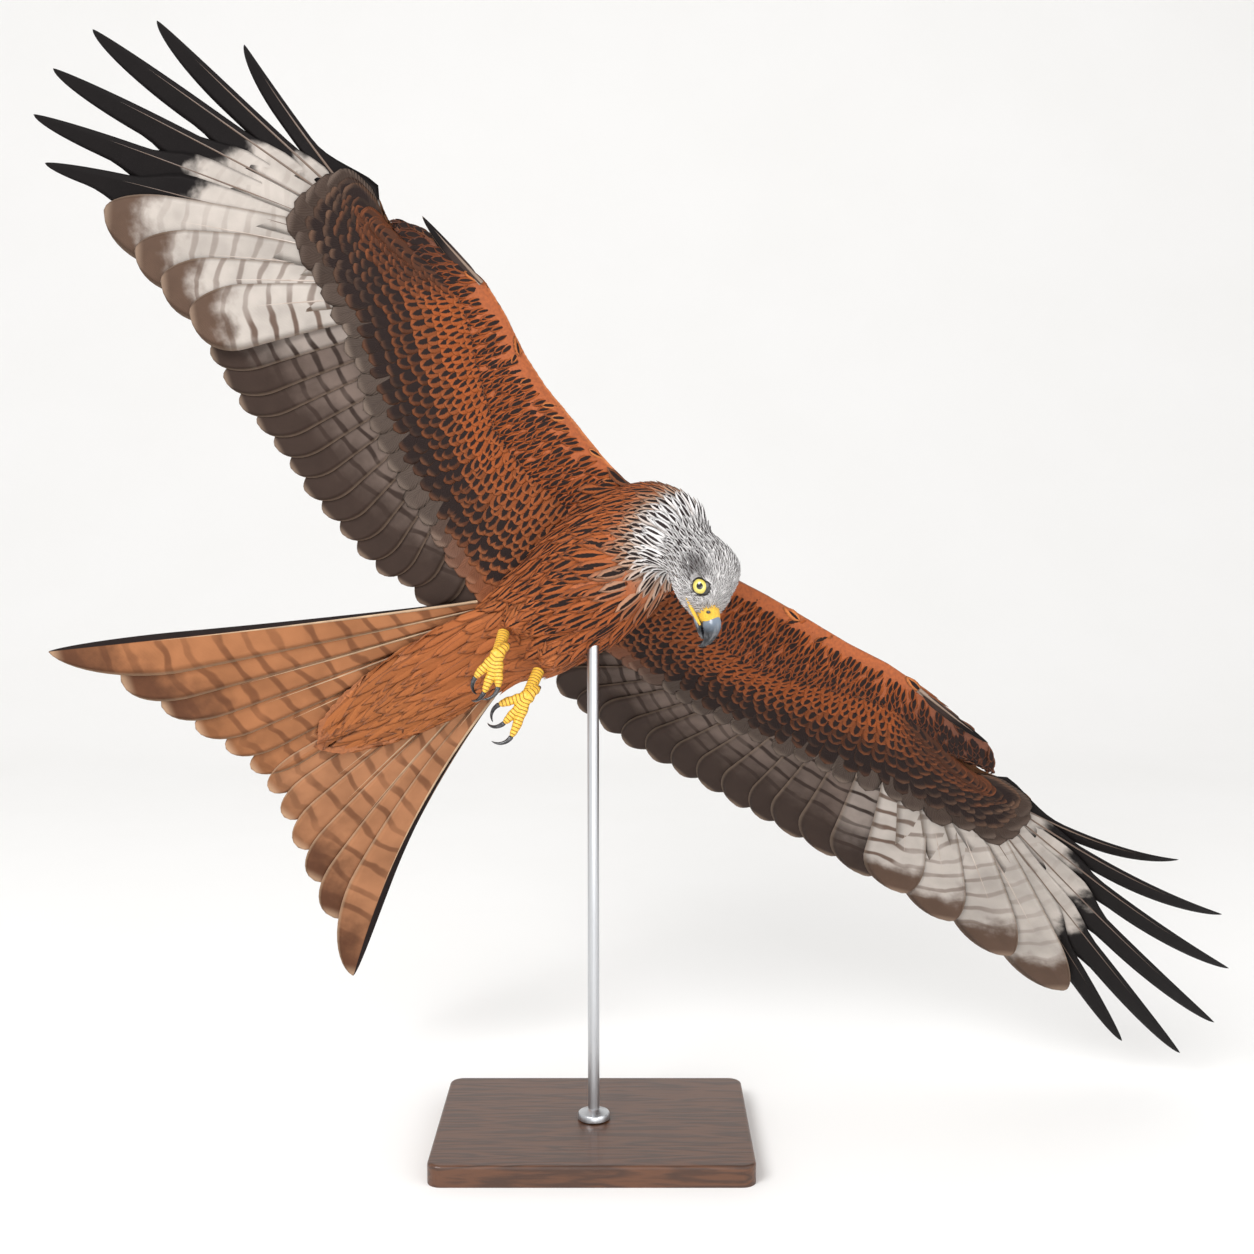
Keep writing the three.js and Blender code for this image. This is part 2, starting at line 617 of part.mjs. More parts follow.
function addTail() {
  const turn = TAIL_TURN.map(rad);
  const matrix = new THREE.Matrix4().makeRotationZ(turn[0]);
  matrix.multiply(new THREE.Matrix4().makeRotationY(turn[1]));
  matrix.multiply(new THREE.Matrix4().makeRotationX(turn[2]));
  matrix.setPosition(...TAIL_PLACE);
  const covert = (table) => toSolid(stationForm(table, 14, 7), matrix).subtract(bodyClear);
  addPart(bird, 'undertail_coverts', covert(UNDERTAIL), material(COLOUR.body, 0.9));
  addPart(bird, 'uppertail_coverts', covert(OVERTAIL), material(COLOUR.body, 0.9));
  const clear = (table) => toSolid(stationForm(table, 14, 7, GAP), matrix);
  const coverts = clear(UNDERTAIL).add(clear(OVERTAIL));
  for (const [name, side] of [['right', -1], ['left', 1]]) {
    let previous = bodyClear.add(coverts);
    for (let number = 1; number <= 6; number += 1) {
      const feather = toSolid(tailFeather(name, side, number), matrix).subtract(previous);
      addPart(bird, `tail_feather_${number}_${name}`, feather, material(COLOUR.tail, 0.7));
      previous = previous.add(feather);
    }
  }
}

// A tapering limb between two points with rounded ends.
function limbForm(from, to, startRadius, endRadius, sides, rings, grow = 0) {
  const along = to.clone().sub(from);
  const length = along.length();
  const way = along.clone().normalize();
  const side = new THREE.Vector3(0, 0, 1).cross(way).normalize();
  const up = way.clone().cross(side);
  return roundForm(sides, rings, (t, angle, radius) => {
    const wide = THREE.MathUtils.lerp(startRadius, endRadius, t) + grow;
    const bulge = Math.min(1, Math.sqrt(Math.max(0, Math.sin(Math.PI * t)) * 1.6));
    const point = from.clone().addScaledVector(way, length * t + (radius ? 0 : Math.sign(t - 0.5) * grow));
    point.addScaledVector(side, wide * bulge * radius * Math.cos(angle));
    return point.addScaledVector(up, wide * bulge * radius * Math.sin(angle));
  });
}

// A toe's middle line: it leaves the ball of the foot sideways and curls down at its end.
function toeLine(leg, toe) {
  const [sideways, length, curl, turn] = toe;
  const ball = vec(leg.ball);
  const way = vec(leg.way).normalize();
  const across = vec(FOOT_BACK).cross(way).normalize();
  const sole = way.clone().cross(across).normalize();
  const down = sole.clone().multiplyScalar(Math.cos(rad(turn)));
  down.addScaledVector(across, Math.sin(rad(turn)));
  const heading = rad(sideways);
  const start = way.clone().multiplyScalar(Math.cos(heading));
  start.addScaledVector(across, -Math.sin(heading)).normalize();
  down.addScaledVector(start, -down.dot(start)).normalize();
  const steps = 6;
  const line = [ball.clone()];
  const point = ball.clone();
  for (let i = 0; i < steps; i += 1) {
    const bend = rad(curl) * ((i + 0.5) / steps);
    point.addScaledVector(start, (length / steps) * Math.cos(bend));
    point.addScaledVector(down, (length / steps) * Math.sin(bend));
    line.push(point.clone());
  }
  const end = rad(curl);
  const tip = start.clone().multiplyScalar(Math.cos(end)).addScaledVector(down, Math.sin(end));
  const inward = start.clone().multiplyScalar(-Math.sin(end)).addScaledVector(down, Math.cos(end));
  return { line, tip, inward };
}

function hornForm(line, radiusAt, sides, rings, grow = 0) {
  const curve = new THREE.CatmullRomCurve3(line);
  return roundForm(sides, rings, (t, angle, radius) => {
    const at = THREE.MathUtils.clamp(t, 0, 1);
    const tangent = curve.getTangentAt(at);
    const side = new THREE.Vector3(0.2, 0.1, 1).cross(tangent).normalize();
    const up = tangent.clone().cross(side);
    const reach = (radiusAt(t) + grow) * radius;
    const point = curve.getPointAt(at);
    point.addScaledVector(tangent, radius ? 0 : Math.sign(t - 0.5) * grow);
    point.addScaledVector(side, reach * Math.cos(angle));
    return point.addScaledVector(up, reach * Math.sin(angle));
  });
}

const toeRadius = (t) => {
  const cap = Math.min(1, Math.sqrt(Math.max(0, Math.sin(Math.PI * t)) * 2.2));
  return TOE_RADIUS * cap * THREE.MathUtils.lerp(1.15, 0.8, t);
};
const clawRadius = (t) => CLAW.radius * (1 - t) ** 0.7 * Math.min(1, t * 8 + 0.3) + 0.15;

function addLeg(name, leg) {
  const hip = vec(leg.hip);
  const cuff = vec(leg.cuff);
  const ball = vec(leg.ball);
  const thigh = toSolid(limbForm(hip, cuff, THIGH_RADIUS, THIGH_RADIUS * 0.55, 12, 7)).subtract(bodyClear);
  const thighClear = toSolid(limbForm(hip, cuff, THIGH_RADIUS, THIGH_RADIUS * 0.55, 12, 7, GAP));
  const shankStart = cuff.clone().lerp(ball, -0.35);
  const shank = toSolid(limbForm(shankStart, ball, SHANK_RADIUS, SHANK_RADIUS * 1.15, 8, 4));
  const ballForm = (grow) => {
    const form = new THREE.SphereGeometry(BALL_RADIUS + grow, 10, 6);
    return toSolid(form, new THREE.Matrix4().setPosition(...leg.ball));
  };
  addPart(bird, `thigh_${name}`, thigh, material(COLOUR.body, 0.9));
  let foot = ballForm(0);
  const claws = [];
  let legClear = ballForm(GAP);
  leg.toes.forEach((toe) => {
    const { line, tip, inward } = toeLine(leg, toe);
    const solid = toSolid(hornForm(line, toeRadius, 5, 5));
    foot = foot.add(solid);
    if (toe === leg.toes.at(-1)) {
      legClear = legClear.add(toSolid(hornForm(line, toeRadius, 5, 5, GAP)));
    }
    const end = line[line.length - 1];
    claws.push([0, 0.25, 0.5, 0.75, 1].map((t) => {
      const bend = t * CLAW.bend;
      const point = end.clone().addScaledVector(tip, -1.6 + (CLAW.length * Math.sin(bend)) / CLAW.bend);
      return point.addScaledVector(inward, (CLAW.length * (1 - Math.cos(bend))) / CLAW.bend);
    }));
  });
  claws.forEach((line, index) => {
    const clear = toSolid(hornForm(line, clawRadius, 5, 5, GAP));
    foot = foot.subtract(clear);
    if (index === claws.length - 1) legClear = legClear.add(clear);
    addPart(bird, `claw_${index + 1}_${name}`, toSolid(hornForm(line, clawRadius, 5, 5)),
      material(COLOUR.claw, 0.25));
  });
  addPart(bird, `foot_${name}`, foot, material(COLOUR.yellow, 0.5));
  const tarsus = shank.subtract(thighClear).subtract(bodyClear).subtract(legClear);
  addPart(bird, `tarsus_${name}`, tarsus, material(COLOUR.yellow, 0.5));
}

// The stand: a bevelled wooden base, and a rod with a collar that ends in the bird's lower flank.
function addStand() {
  const [width, depth, height] = BASE_SIZE;
  const outline = new THREE.Shape();
  const [x, y, r] = [width / 2, depth / 2, BASE_CORNER];
  outline.absarc(x - r, y - r, r, 0, Math.PI / 2);
  outline.absarc(-x + r, y - r, r, Math.PI / 2, Math.PI);
  outline.absarc(-x + r, -y + r, r, Math.PI, 1.5 * Math.PI);
  outline.absarc(x - r, -y + r, r, 1.5 * Math.PI, 2 * Math.PI);
  const base = new THREE.ExtrudeGeometry(outline, { depth: height, bevelEnabled: false, curveSegments: 4 });
  addPart(kite, 'stand_base', toSolid(base), material(COLOUR.wood, 0.5));
  const profile = [
    [0, height + GAP],
    [COLLAR_RADIUS, height + GAP],
    [COLLAR_RADIUS, height + COLLAR_HEIGHT * 0.6],
    [ROD_RADIUS, height + COLLAR_HEIGHT],
    [ROD_RADIUS, ROD_TOP],
    [0, ROD_TOP],
  ];
  const rod = new THREE.LatheGeometry(profile.map(([px, py]) => new THREE.Vector2(px, py)), 16);
  rod.rotateX(Math.PI / 2);
  addPart(kite, 'stand_rod', toSolid(rod), material(COLOUR.steel, 0.25, 1));
}

// The hole that the rod fills, in the bird's own frame.
function rodHole() {
  const hole = new THREE.CylinderGeometry(ROD_RADIUS + GAP, ROD_RADIUS + GAP, ROD_TOP, 16);
  hole.rotateX(Math.PI / 2);
  hole.translate(0, 0, ROD_TOP / 2 + GAP);
  return toSolid(hole, bird.matrixWorld.clone().invert());
}

addHead();
addBody(rodHole());
Object.entries(WINGS).forEach(([name, wing]) => addWing(name, wing));
addTail();
Object.entries(LEGS).forEach(([name, leg]) => addLeg(name, leg));
addStand();

export default kite;
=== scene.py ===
# %% [markdown]
# This lesson finishes a life-size museum model of a red kite that banks over a display stand.
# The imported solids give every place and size. Blender adds one skin for the flesh, a coat of
# modelled feathers over it, and the finishes. Sizes of the bird are in millimetres in the bird's
# own level frame, with x to the bill, y to its left and z to its back, as in the solids.

# %% Load the frame
import math
from itertools import product

import bmesh
import bpy
import numpy as np
from mathutils import Matrix, Vector
from mathutils.bvhtree import BVHTree
from mathutils.interpolate import poly_3d_calc


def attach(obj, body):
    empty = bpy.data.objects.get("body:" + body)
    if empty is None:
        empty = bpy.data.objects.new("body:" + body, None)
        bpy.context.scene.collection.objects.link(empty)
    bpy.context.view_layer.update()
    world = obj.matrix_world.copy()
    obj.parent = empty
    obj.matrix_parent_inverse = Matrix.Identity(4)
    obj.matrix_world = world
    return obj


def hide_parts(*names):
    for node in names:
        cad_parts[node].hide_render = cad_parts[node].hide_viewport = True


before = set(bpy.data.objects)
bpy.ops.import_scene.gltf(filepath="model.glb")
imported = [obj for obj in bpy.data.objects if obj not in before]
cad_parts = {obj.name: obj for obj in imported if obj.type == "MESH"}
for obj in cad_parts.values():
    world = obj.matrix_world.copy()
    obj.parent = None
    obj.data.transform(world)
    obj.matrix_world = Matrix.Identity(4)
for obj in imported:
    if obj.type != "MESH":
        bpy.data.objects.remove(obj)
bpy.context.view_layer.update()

MM = 0.001
SAME_PLACE = 1e-6
BLACK = (0.0, 0.0, 0.0, 1.0)

# %% [markdown]
# The camera comes first, so that each piece can be judged from it. The picture looks slightly
# down on the bird from its right, from a little over its own height, so the view is turned
# 85 degrees up from straight down and the lens takes in the whole span.

# %% Camera
CAMERA_PLACE = (0.029, -1.3776, 0.5703)
CAMERA_TILT = 85
LENS = 46.62
SENSOR = 36

camera_data = bpy.data.cameras.new("camera")
camera_data.lens = LENS
camera_data.sensor_width = SENSOR
camera = bpy.data.objects.new("camera", camera_data)
camera.location = CAMERA_PLACE
camera.rotation_euler = (math.radians(CAMERA_TILT), 0, 0)
bpy.context.collection.objects.link(camera)
bpy.context.scene.camera = camera

# %% [markdown]
# The bird climbs, turns and banks as one group. The same three turns are repeated here, so that
# feathers can be laid out level, where left and right are mirror images, and moved afterwards.

# %% The bird's frame
BIRD_PLACE = (18, 0, 506)
HEADING, CLIMB, BANK = -34, 37, 65
HEAD_PLACE = (76, 53, -55)
HEAD_TURN = (100, 41, 80)


def turned(z, y, x):
    """Turns about x, then y, then z, in degrees."""
    turn = Matrix.Rotation(math.radians(z), 4, "Z") @ Matrix.Rotation(math.radians(y), 4, "Y")
    return turn @ Matrix.Rotation(math.radians(x), 4, "X")


BIRD = Matrix.Scale(MM, 4) @ Matrix.Translation(BIRD_PLACE) @ turned(HEADING, -CLIMB, -BANK)
HEAD = BIRD @ Matrix.Translation(HEAD_PLACE) @ turned(*HEAD_TURN)
print("bird's middle", BIRD.translation)


def moved(points, matrix):
    """Points of any shape (..., 3) through a 4 by 4 matrix."""
    m = np.array(matrix)
    return points @ m[:3, :3].T + m[:3, 3]


# %% [markdown]
# Shader maths is easier to read as sums than as a list of nodes. A Wire is one output of a
# node, and each operator adds the Math node that it needs. Paint collects a material's nodes.

# %% Shader helpers
class Wire:
    """One socket in a shader that takes part in Python sums."""

    def __init__(self, paint, socket):
        self.paint = paint
        self.socket = socket

    def maths(self, operation, *others):
        """The output of a new Math node."""
        inputs = dict(enumerate((self, *others)))
        return self.paint.node("ShaderNodeMath", {"operation": operation}, inputs)

    def __add__(self, other):
        return self.maths("ADD", other)

    __radd__ = __add__

    def __mul__(self, other):
        return self.maths("MULTIPLY", other)

    __rmul__ = __mul__

    def __sub__(self, other):
        return self.maths("SUBTRACT", other)

    def __rsub__(self, other):
        return (self * -1.0) + other

    def __truediv__(self, other):
        return self.maths("DIVIDE", other)

    def __abs__(self):
        return self.maths("ABSOLUTE")

    def sine(self):
        """The sine of an angle in radians."""
        return self.maths("SINE")

    def least(self, other):
        """The smaller of two values."""
        return self.maths("MINIMUM", other)

    def most(self, other):
        """The larger of two values."""
        return self.maths("MAXIMUM", other)

    def ease(self, low, high):
        """0 below low, 1 above high and a smooth step between them."""
        settings = {"interpolation_type": "SMOOTHSTEP"}
        inputs = {0: self, 1: low, 2: high}
        return self.paint.node("ShaderNodeMapRange", settings, inputs)


class Paint:
    """A material under construction."""

    def __init__(self, name):
        self.material = bpy.data.materials.new(name)
        self.material.use_nodes = True
        self.tree = self.material.node_tree
        self.tree.nodes.clear()

    def node(self, kind, settings=None, inputs=None, output=0):
        """Adds a node with its settings. Inputs are wires or plain values."""
        node = self.tree.nodes.new(kind)
        for key, value in (settings or {}).items():
            setattr(node, key, value)
        for key, value in (inputs or {}).items():
            if isinstance(value, Wire):
                self.tree.links.new(value.socket, node.inputs[key])
            else:
                node.inputs[key].default_value = value
        return Wire(self, node.outputs[output])

    def blend(self, factor, first, second):
        """A mix of two colours: the first at 0 and the second at 1."""
        settings = {"data_type": "RGBA"}
        return self.node("ShaderNodeMix", settings, {0: factor, 6: first, 7: second}, 2)

    def attribute(self, name, output="Fac"):
        """A number or a colour that the mesh holds under a name."""
        return self.node("ShaderNodeAttribute", {"attribute_name": name}, None, output)

    def place(self, scale=(1.0, 1.0, 1.0)):
        """Object coordinates, times a scale on each axis."""
        coordinates = self.node("ShaderNodeTexCoord", None, None, "Object")
        return self.node("ShaderNodeMapping", None, {0: coordinates, 3: scale})

    def vane(self):
        """How far across a vane from its shaft, from -1 to 1, and how far along it, 0 to 1."""
        uv = self.node("ShaderNodeUVMap", {"uv_map": "vane"})
        split = self.node("ShaderNodeSeparateXYZ", None, {0: uv}, 0)
        across = split * 2.0 - 1.0
        return across, Wire(self, split.socket.node.outputs[1])

    def cells(self, scale):
        """How far a place lies from the nearest edge between scales of skin."""
        inputs = {"Vector": self.place(), "Scale": scale}
        settings = {"feature": "DISTANCE_TO_EDGE"}
        return self.node("ShaderNodeTexVoronoi", settings, inputs, "Distance")

    def noise(self, vector, scale, detail=3.0):
        """Smooth noise, mostly between 0.3 and 0.7."""
        inputs = {"Vector": vector, "Scale": scale, "Detail": detail}
        return self.node("ShaderNodeTexNoise", None, inputs, 0)

    def finish(self, colour, roughness=0.6, bump=None, depth=0.2, **fixed):
        """Closes the material. fixed holds further sockets, with _ for a space."""
        inputs = {"Base Color": colour, "Roughness": roughness}
        if bump is not None:
            raised = {"Height": bump, "Strength": depth, "Distance": MM}
            inputs["Normal"] = self.node("ShaderNodeBump", None, raised)
        inputs.update({key.replace("_", " "): value for key, value in fixed.items()})
        shader = self.node("ShaderNodeBsdfPrincipled", None, inputs)
        out = self.tree.nodes.new("ShaderNodeOutputMaterial")
        self.tree.links.new(shader.socket, out.inputs[0])
        return self.material


def tint(red, green, blue):
    """A colour as seen on screen, 0 to 255, as the linear colour that shaders use."""
    def linear(level):
        level /= 255
        return level / 12.92 if level <= 0.04045 else ((level + 0.055) / 1.055) ** 2.4
    return (linear(red), linear(green), linear(blue), 1.0)


# %% [markdown]
# A feather is a thin blade: a shaft with a vane on each side. Thousands of them are built as
# arrays. Each blade is a closed lens of two grids that share their rim, so it has real faces on
# both sides. Its own map, vane, tells the paint how far a point lies across and along it.

# %% Build blades
RIM_THINNING = 0.6


def blade_faces(rows, columns):
    """Quads of one closed blade, and how many corners it has."""
    top = np.arange(rows * columns).reshape(rows, columns)
    low = top.copy()
    inner = (rows - 2) * (columns - 2)
    low[1:-1, 1:-1] = top.size + np.arange(inner).reshape(rows - 2, columns - 2)
    quads = []
    for grid, upward in ((top, True), (low, False)):
        square = [grid[:-1, :-1], grid[:-1, 1:], grid[1:, 1:], grid[1:, :-1]]
        quads.append(np.stack(square if upward else square[::-1], -1).reshape(-1, 4))
    return quads[0], quads[1], top.size + inner


def blades(shafts, sides, normals, lead, trail, form):
    """Corners of closed blades. lead and trail are half widths beside each shaft point."""
    columns, thick, slope, camber = form
    across = np.linspace(-1, 1, columns)
    width = np.where(across > 0, lead[..., None], trail[..., None]) * across
    drop = camber * np.abs(width) * np.abs(across)
    top = shafts[:, :, None] + sides[:, :, None] * width[..., None]
    top = top + normals[:, :, None] * (slope * width - drop)[..., None]
    low = top - normals[:, :, None] * (thick * (1 - RIM_THINNING * np.abs(across)))[:, None]
    count = len(shafts)
    corners = [top.reshape(count, -1, 3), low[:, 1:-1, 1:-1].reshape(count, -1, 3)]
    return np.concatenate(corners, 1)


def blade_map(runs, columns):
    """The across and along fractions of a blade's corners, from its rows' fractions."""
    along, across = np.meshgrid(runs, np.linspace(0, 1, columns), indexing="ij")
    top = np.stack([across, along], -1)
    return np.concatenate([top.reshape(-1, 2), top[1:-1, 1:-1].reshape(-1, 2)])


def mesh_from(name, corners, quads, maps, values, mirrored=False):
    """A smooth object in world metres. values are per corner: numbers or colours."""
    if mirrored:
        quads = quads[:, ::-1]
    mesh = bpy.data.meshes.new(name)
    mesh.vertices.add(len(corners))
    mesh.vertices.foreach_set("co", corners.astype(np.float32).ravel())
    mesh.loops.add(quads.size)
    mesh.loops.foreach_set("vertex_index", quads.astype(np.int32).ravel())
    mesh.polygons.add(len(quads))
    mesh.polygons.foreach_set("loop_start", np.arange(0, quads.size, 4, dtype=np.int32))
    mesh.update(calc_edges=True)
    for label, uv in maps.items():
        layer = mesh.uv_layers.new(name=label)
        if len(uv) == len(corners):
            uv = uv[quads.ravel()]
        elif mirrored:
            uv = uv.reshape(-1, 4, 2)[:, ::-1]
        layer.data.foreach_set("uv", uv.astype(np.float32).ravel())
    mesh.polygons.foreach_set("use_smooth", np.ones(len(quads), dtype=bool))
    piece = bpy.data.objects.new(name, mesh)
    bpy.context.collection.objects.link(piece)
    for label, data in values.items():
        store(piece, label, data)
    mesh.validate()
    return piece


def feather_mesh(name, shafts, normals, widths, runs, form, values, bake, place=None):
    """One mesh of closed blades. widths are the lead and the trail, form is the columns,
    thickness, slope and camber of a blade, values hold one row per feather, bake makes the
    OFBake map, and place is the world matrix and whether it mirrors."""
    matrix, mirrored = place or (Matrix(), False)
    corners = blades(shafts, frames(shafts, normals), normals, *widths, form)
    top, low, size = blade_faces(len(runs), form[0])
    start = (np.arange(len(shafts)) * size)[:, None, None]
    quads = np.concatenate([(half + start).reshape(-1, 4) for half in (top, low)])
    vane = np.tile(blade_map(runs, form[0]), (len(shafts), 1))
    maps = {"vane": vane, "OFBake": bake(vane, quads, size)}
    values = {key: np.repeat(np.array(data, float), size, 0) for key, data in values.items()}
    world = moved(corners.reshape(-1, 3), matrix)
    return mesh_from(name, world, quads, maps, values, mirrored)


def made(form, name, smooth=True):
    """An object from a finished bmesh, which is freed."""
    mesh = bpy.data.meshes.new(name)
    form.to_mesh(mesh)
    form.free()
    mesh.polygons.foreach_set("use_smooth", np.full(len(mesh.polygons), smooth))
    piece = bpy.data.objects.new(name, mesh)
    bpy.context.collection.objects.link(piece)
    return piece


def store(piece, label, data):
    """Stores a number or a colour for each corner of a piece."""
    kind, key = ("FLOAT", "value") if data.ndim == 1 else ("FLOAT_COLOR", "color")
    held = piece.data.attributes.new(label, kind, "POINT")
    held.data.foreach_set(key, data.astype(np.float32).ravel())


def settle(piece, material, slot, *nodes):
    """Gives a finished piece its paint and the solids that it stands for; slot is not used."""
    piece.data.materials.clear()
    piece.data.materials.append(material)
    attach(piece, "root")
    if nodes:
        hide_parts(*nodes)
    print(piece.name, len(piece.data.polygons), "faces")


# %% [markdown]
# The wings' layout is the one that shaped the solids. A shaft starts behind the arm or the hand,
# leaves at its own angle, and bends along its length as air loads it. Positions across the wing
# count one unit to a feather, from the innermost one outward.

# %% Wing layout
SHOULDER = (48, 40, 21)
HAND_LENGTH = 98
SETBACK = 8
SECONDARIES, TERTIALS, PRIMARIES, INNER_PRIMARIES = 12, 4, 10, 4
TERTIAL_SPACING = 30
STEPS = 24
WINGS = {
    "right": dict(
        side=-1, raised=5, twist=10, wrist=(4, 212), elbow=(-56, 106), hand=-8,
        primary_angle=(-50, -45, -41, -36, -32, -27, -21, -14, -7, 3),
        primary_length=(238, 256, 274, 300, 358, 376, 369, 347, 295, 210),
        secondary_angle=(-58, -61, -65, -68, -72, -76, -80, -85, -90, -95, -100, -105),
        secondary_length=(232, 226, 219, 209, 201, 195, 192, 186, 181, 178, 173, 162),
        tertial_angle=(-107, -106, -100, -94), tertial_length=(158, 142, 122, 100),
        slot=(0.72, 0.64, 0.52, 0.41, 0.32)),
    "left": dict(
        side=1, raised=5, twist=-18, wrist=(46, 218), elbow=(-52, 108), hand=2,
        primary_angle=(-42, -33, -24, -18, -15, -10, -4, 4, 12, 20),
        primary_length=(222, 243, 279, 323, 398, 427, 398, 339, 279, 202),
        secondary_angle=(-51, -58, -65, -71, -75, -81, -86, -91, -96, -100, -106, -110),
        secondary_length=(226, 217, 212, 209, 208, 207, 210, 213, 218, 218, 219, 219),
        tertial_angle=(-112, -108, -100, -94), tertial_length=(180, 154, 126, 96),
        slot=(0.62, 0.55, 0.52, 0.46, 0.38)),
}
TRAILING_VANE = (16, 18, 18, 17, 15, 11)
LEADING_VANE = (7, 5, 4.6, 4.4, 4, 3.6)


def wing_rows(wing):
    """One row per feather: root x, root y, angle in radians, length and upward bend."""
    wrist, elbow = np.array(wing["wrist"], float), np.array(wing["elbow"], float)
    hand = np.array([math.sin(math.radians(wing["hand"])), math.cos(math.radians(wing["hand"]))])
    arm = wrist - elbow
    arm_back = np.array([-arm[1], arm[0]]) / np.linalg.norm(arm)
    hand_back = np.array([-hand[1], hand[0]])
    rows = []
    for i in range(TERTIALS, 0, -1):
        root = elbow + (-2, -TERTIAL_SPACING * (i - 0.5)) + arm_back * SETBACK
        rows.append((*root, wing["tertial_angle"][i - 1], wing["tertial_length"][i - 1], -0.05))
    for i in range(SECONDARIES, 0, -1):
        root = wrist - arm * (i - 0.5) / SECONDARIES + arm_back * SETBACK
        rows.append((*root, wing["secondary_angle"][i - 1], wing["secondary_length"][i - 1], -0.05))
    for i in range(1, PRIMARIES + 1):
        root = wrist + hand * HAND_LENGTH * (i - 0.5) / PRIMARIES + hand_back * SETBACK
        rank = (i - 1) / (PRIMARIES - 1)
        bend = -0.15 + 0.25 * rank + 0.5 * rank * rank
        rows.append((*root, wing["primary_angle"][i - 1], wing["primary_length"][i - 1], bend))
    table = np.array(rows)
    table[:, 2] = np.radians(table[:, 2])
    return table


def shaft(table, position):
    """The shaft's line at a position across the wing, in the wing's own frame."""
    at = np.clip(position - 0.5, -0.35, len(table) - 0.65)
    low = int(np.clip(math.floor(at), 0, len(table) - 2))
    x, y, angle, length, bend = table[low] + (table[low + 1] - table[low]) * (at - low)
    curve = ((np.arange(STEPS) + 0.5) / STEPS) ** 1.5
    heading, lift = angle - 0.08 * curve, bend * curve
    way = [np.sin(heading) * np.cos(lift), np.cos(heading) * np.cos(lift), np.sin(lift)]
    steps = np.stack(way, -1) * length / STEPS
    return np.vstack([[x, y, 0], np.array([x, y, 0]) + np.cumsum(steps, 0)]), length


def along(line, fractions):
    """Points at fractions of a line's length, carried on straight past its start."""
    at = np.asarray(fractions, float) * (len(line) - 1)
    low = np.clip(np.floor(at).astype(int), 0, len(line) - 2)
    return line[low] + (line[low + 1] - line[low]) * (at - low)[..., None]


def wing_matrix(wing):
    """World matrix of a wing's own frame, which is mirrored on the right."""
    raised = Matrix.Rotation(math.radians(wing["raised"]), 4, "X")
    twisted = Matrix.Rotation(math.radians(-wing["twist"]), 4, "Y")
    mirror = Matrix.Diagonal((1, wing["side"], 1, 1))
    return BIRD @ mirror @ Matrix.Translation(SHOULDER) @ raised @ twisted


def ramp(value, low, high):
    """A smooth step of an array."""
    t = np.clip((value - low) / (high - low), 0, 1)
    return t * t * (3 - 2 * t)


def frames(lines, up):
    """Sideways vectors of shafts, towards the leading vane, for an upward vector."""
    ways = np.gradient(lines, axis=1)
    sides = np.cross(ways, up)
    return sides / np.linalg.norm(sides, axis=-1, keepdims=True)


# %% [markdown]
# Flight feathers take their look from a few values each: ground, bars, tip and rim colours, how
# strong the bars are and where the tip's colour starts. One paint then serves secondaries with
# grey-brown bars, the white window of the inner primaries, the black fingers and the rufous
# tail. The side that faces up in flight is darker on the wings, so it has a value of its own.

# %% Flight feather paint
def flight_paint():
    """The vanes of wing and tail: ground, bars, dark tip, pale rim and fine barbs."""
    paint = Paint("flight_vane")
    across, along_it = paint.vane()
    off = abs(across)
    mottle = paint.noise(paint.place(), 55.0, 4.0)
    cloud = paint.noise(paint.place(), 24.0, 2.0)
    place = along_it * paint.attribute("length") / paint.attribute("gap") + off * 0.3 + cloud
    bars = (place * math.tau).sine().ease(0.45, 0.92) * paint.attribute("bars")
    inner = (across * -1.0).ease(-0.1, 0.35) * 0.3 + 0.7
    ground = paint.blend(cloud.ease(0.4, 0.7) * 0.2, paint.attribute("ground", "Color"), BLACK)
    patches = cloud.ease(0.36, 0.5) * 0.4 + 0.6
    colour = paint.blend(bars * patches * inner, ground, paint.attribute("bar", "Color"))
    reached = along_it + mottle * 0.16 - 0.08 + off * 0.04 - paint.attribute("tip_start")
    tip_mask = (reached * paint.attribute("tip_speed")).ease(0.0, 1.0)
    colour = paint.blend(tip_mask, colour, paint.attribute("tip", "Color"))
    rim = off.ease(0.88, 1.0).most(along_it.ease(0.965, 1.0)) * paint.attribute("rim_width")
    colour = paint.blend(rim, colour, paint.attribute("rim", "Color"))
    outer = across.ease(0.05, 0.16) * paint.attribute("outer")
    colour = paint.blend(outer, colour, tint(36, 28, 27))
    barbs = ((along_it * paint.attribute("length") - off * 16.0) * 5.2).sine() * 0.5 + 0.5
    colour = paint.blend(barbs * 0.12 + mottle.ease(0.3, 0.8) * 0.14, colour, BLACK)
    colour = paint.blend(paint.attribute("upper") * 0.92, colour, paint.attribute("back", "Color"))
    return paint.finish(colour, 0.55, barbs + mottle, 0.25, Specular_IOR_Level=0.1)


def shaft_paint():
    """The horn of the shafts."""
    paint = Paint("shaft_horn")
    tone = paint.noise(paint.place(), 60.0)
    colour = paint.blend(tone, paint.attribute("ground", "Color"), tint(120, 96, 78))
    return paint.finish(colour, 0.35, tone, 0.1)


FLIGHT = flight_paint()
SHAFT = shaft_paint()

# %% [markdown]
# A shaft tapers from its root to nothing. It is a thin five-sided rod along the vane's middle,
# a little proud of both faces, and it is joined from arrays as the vanes are.

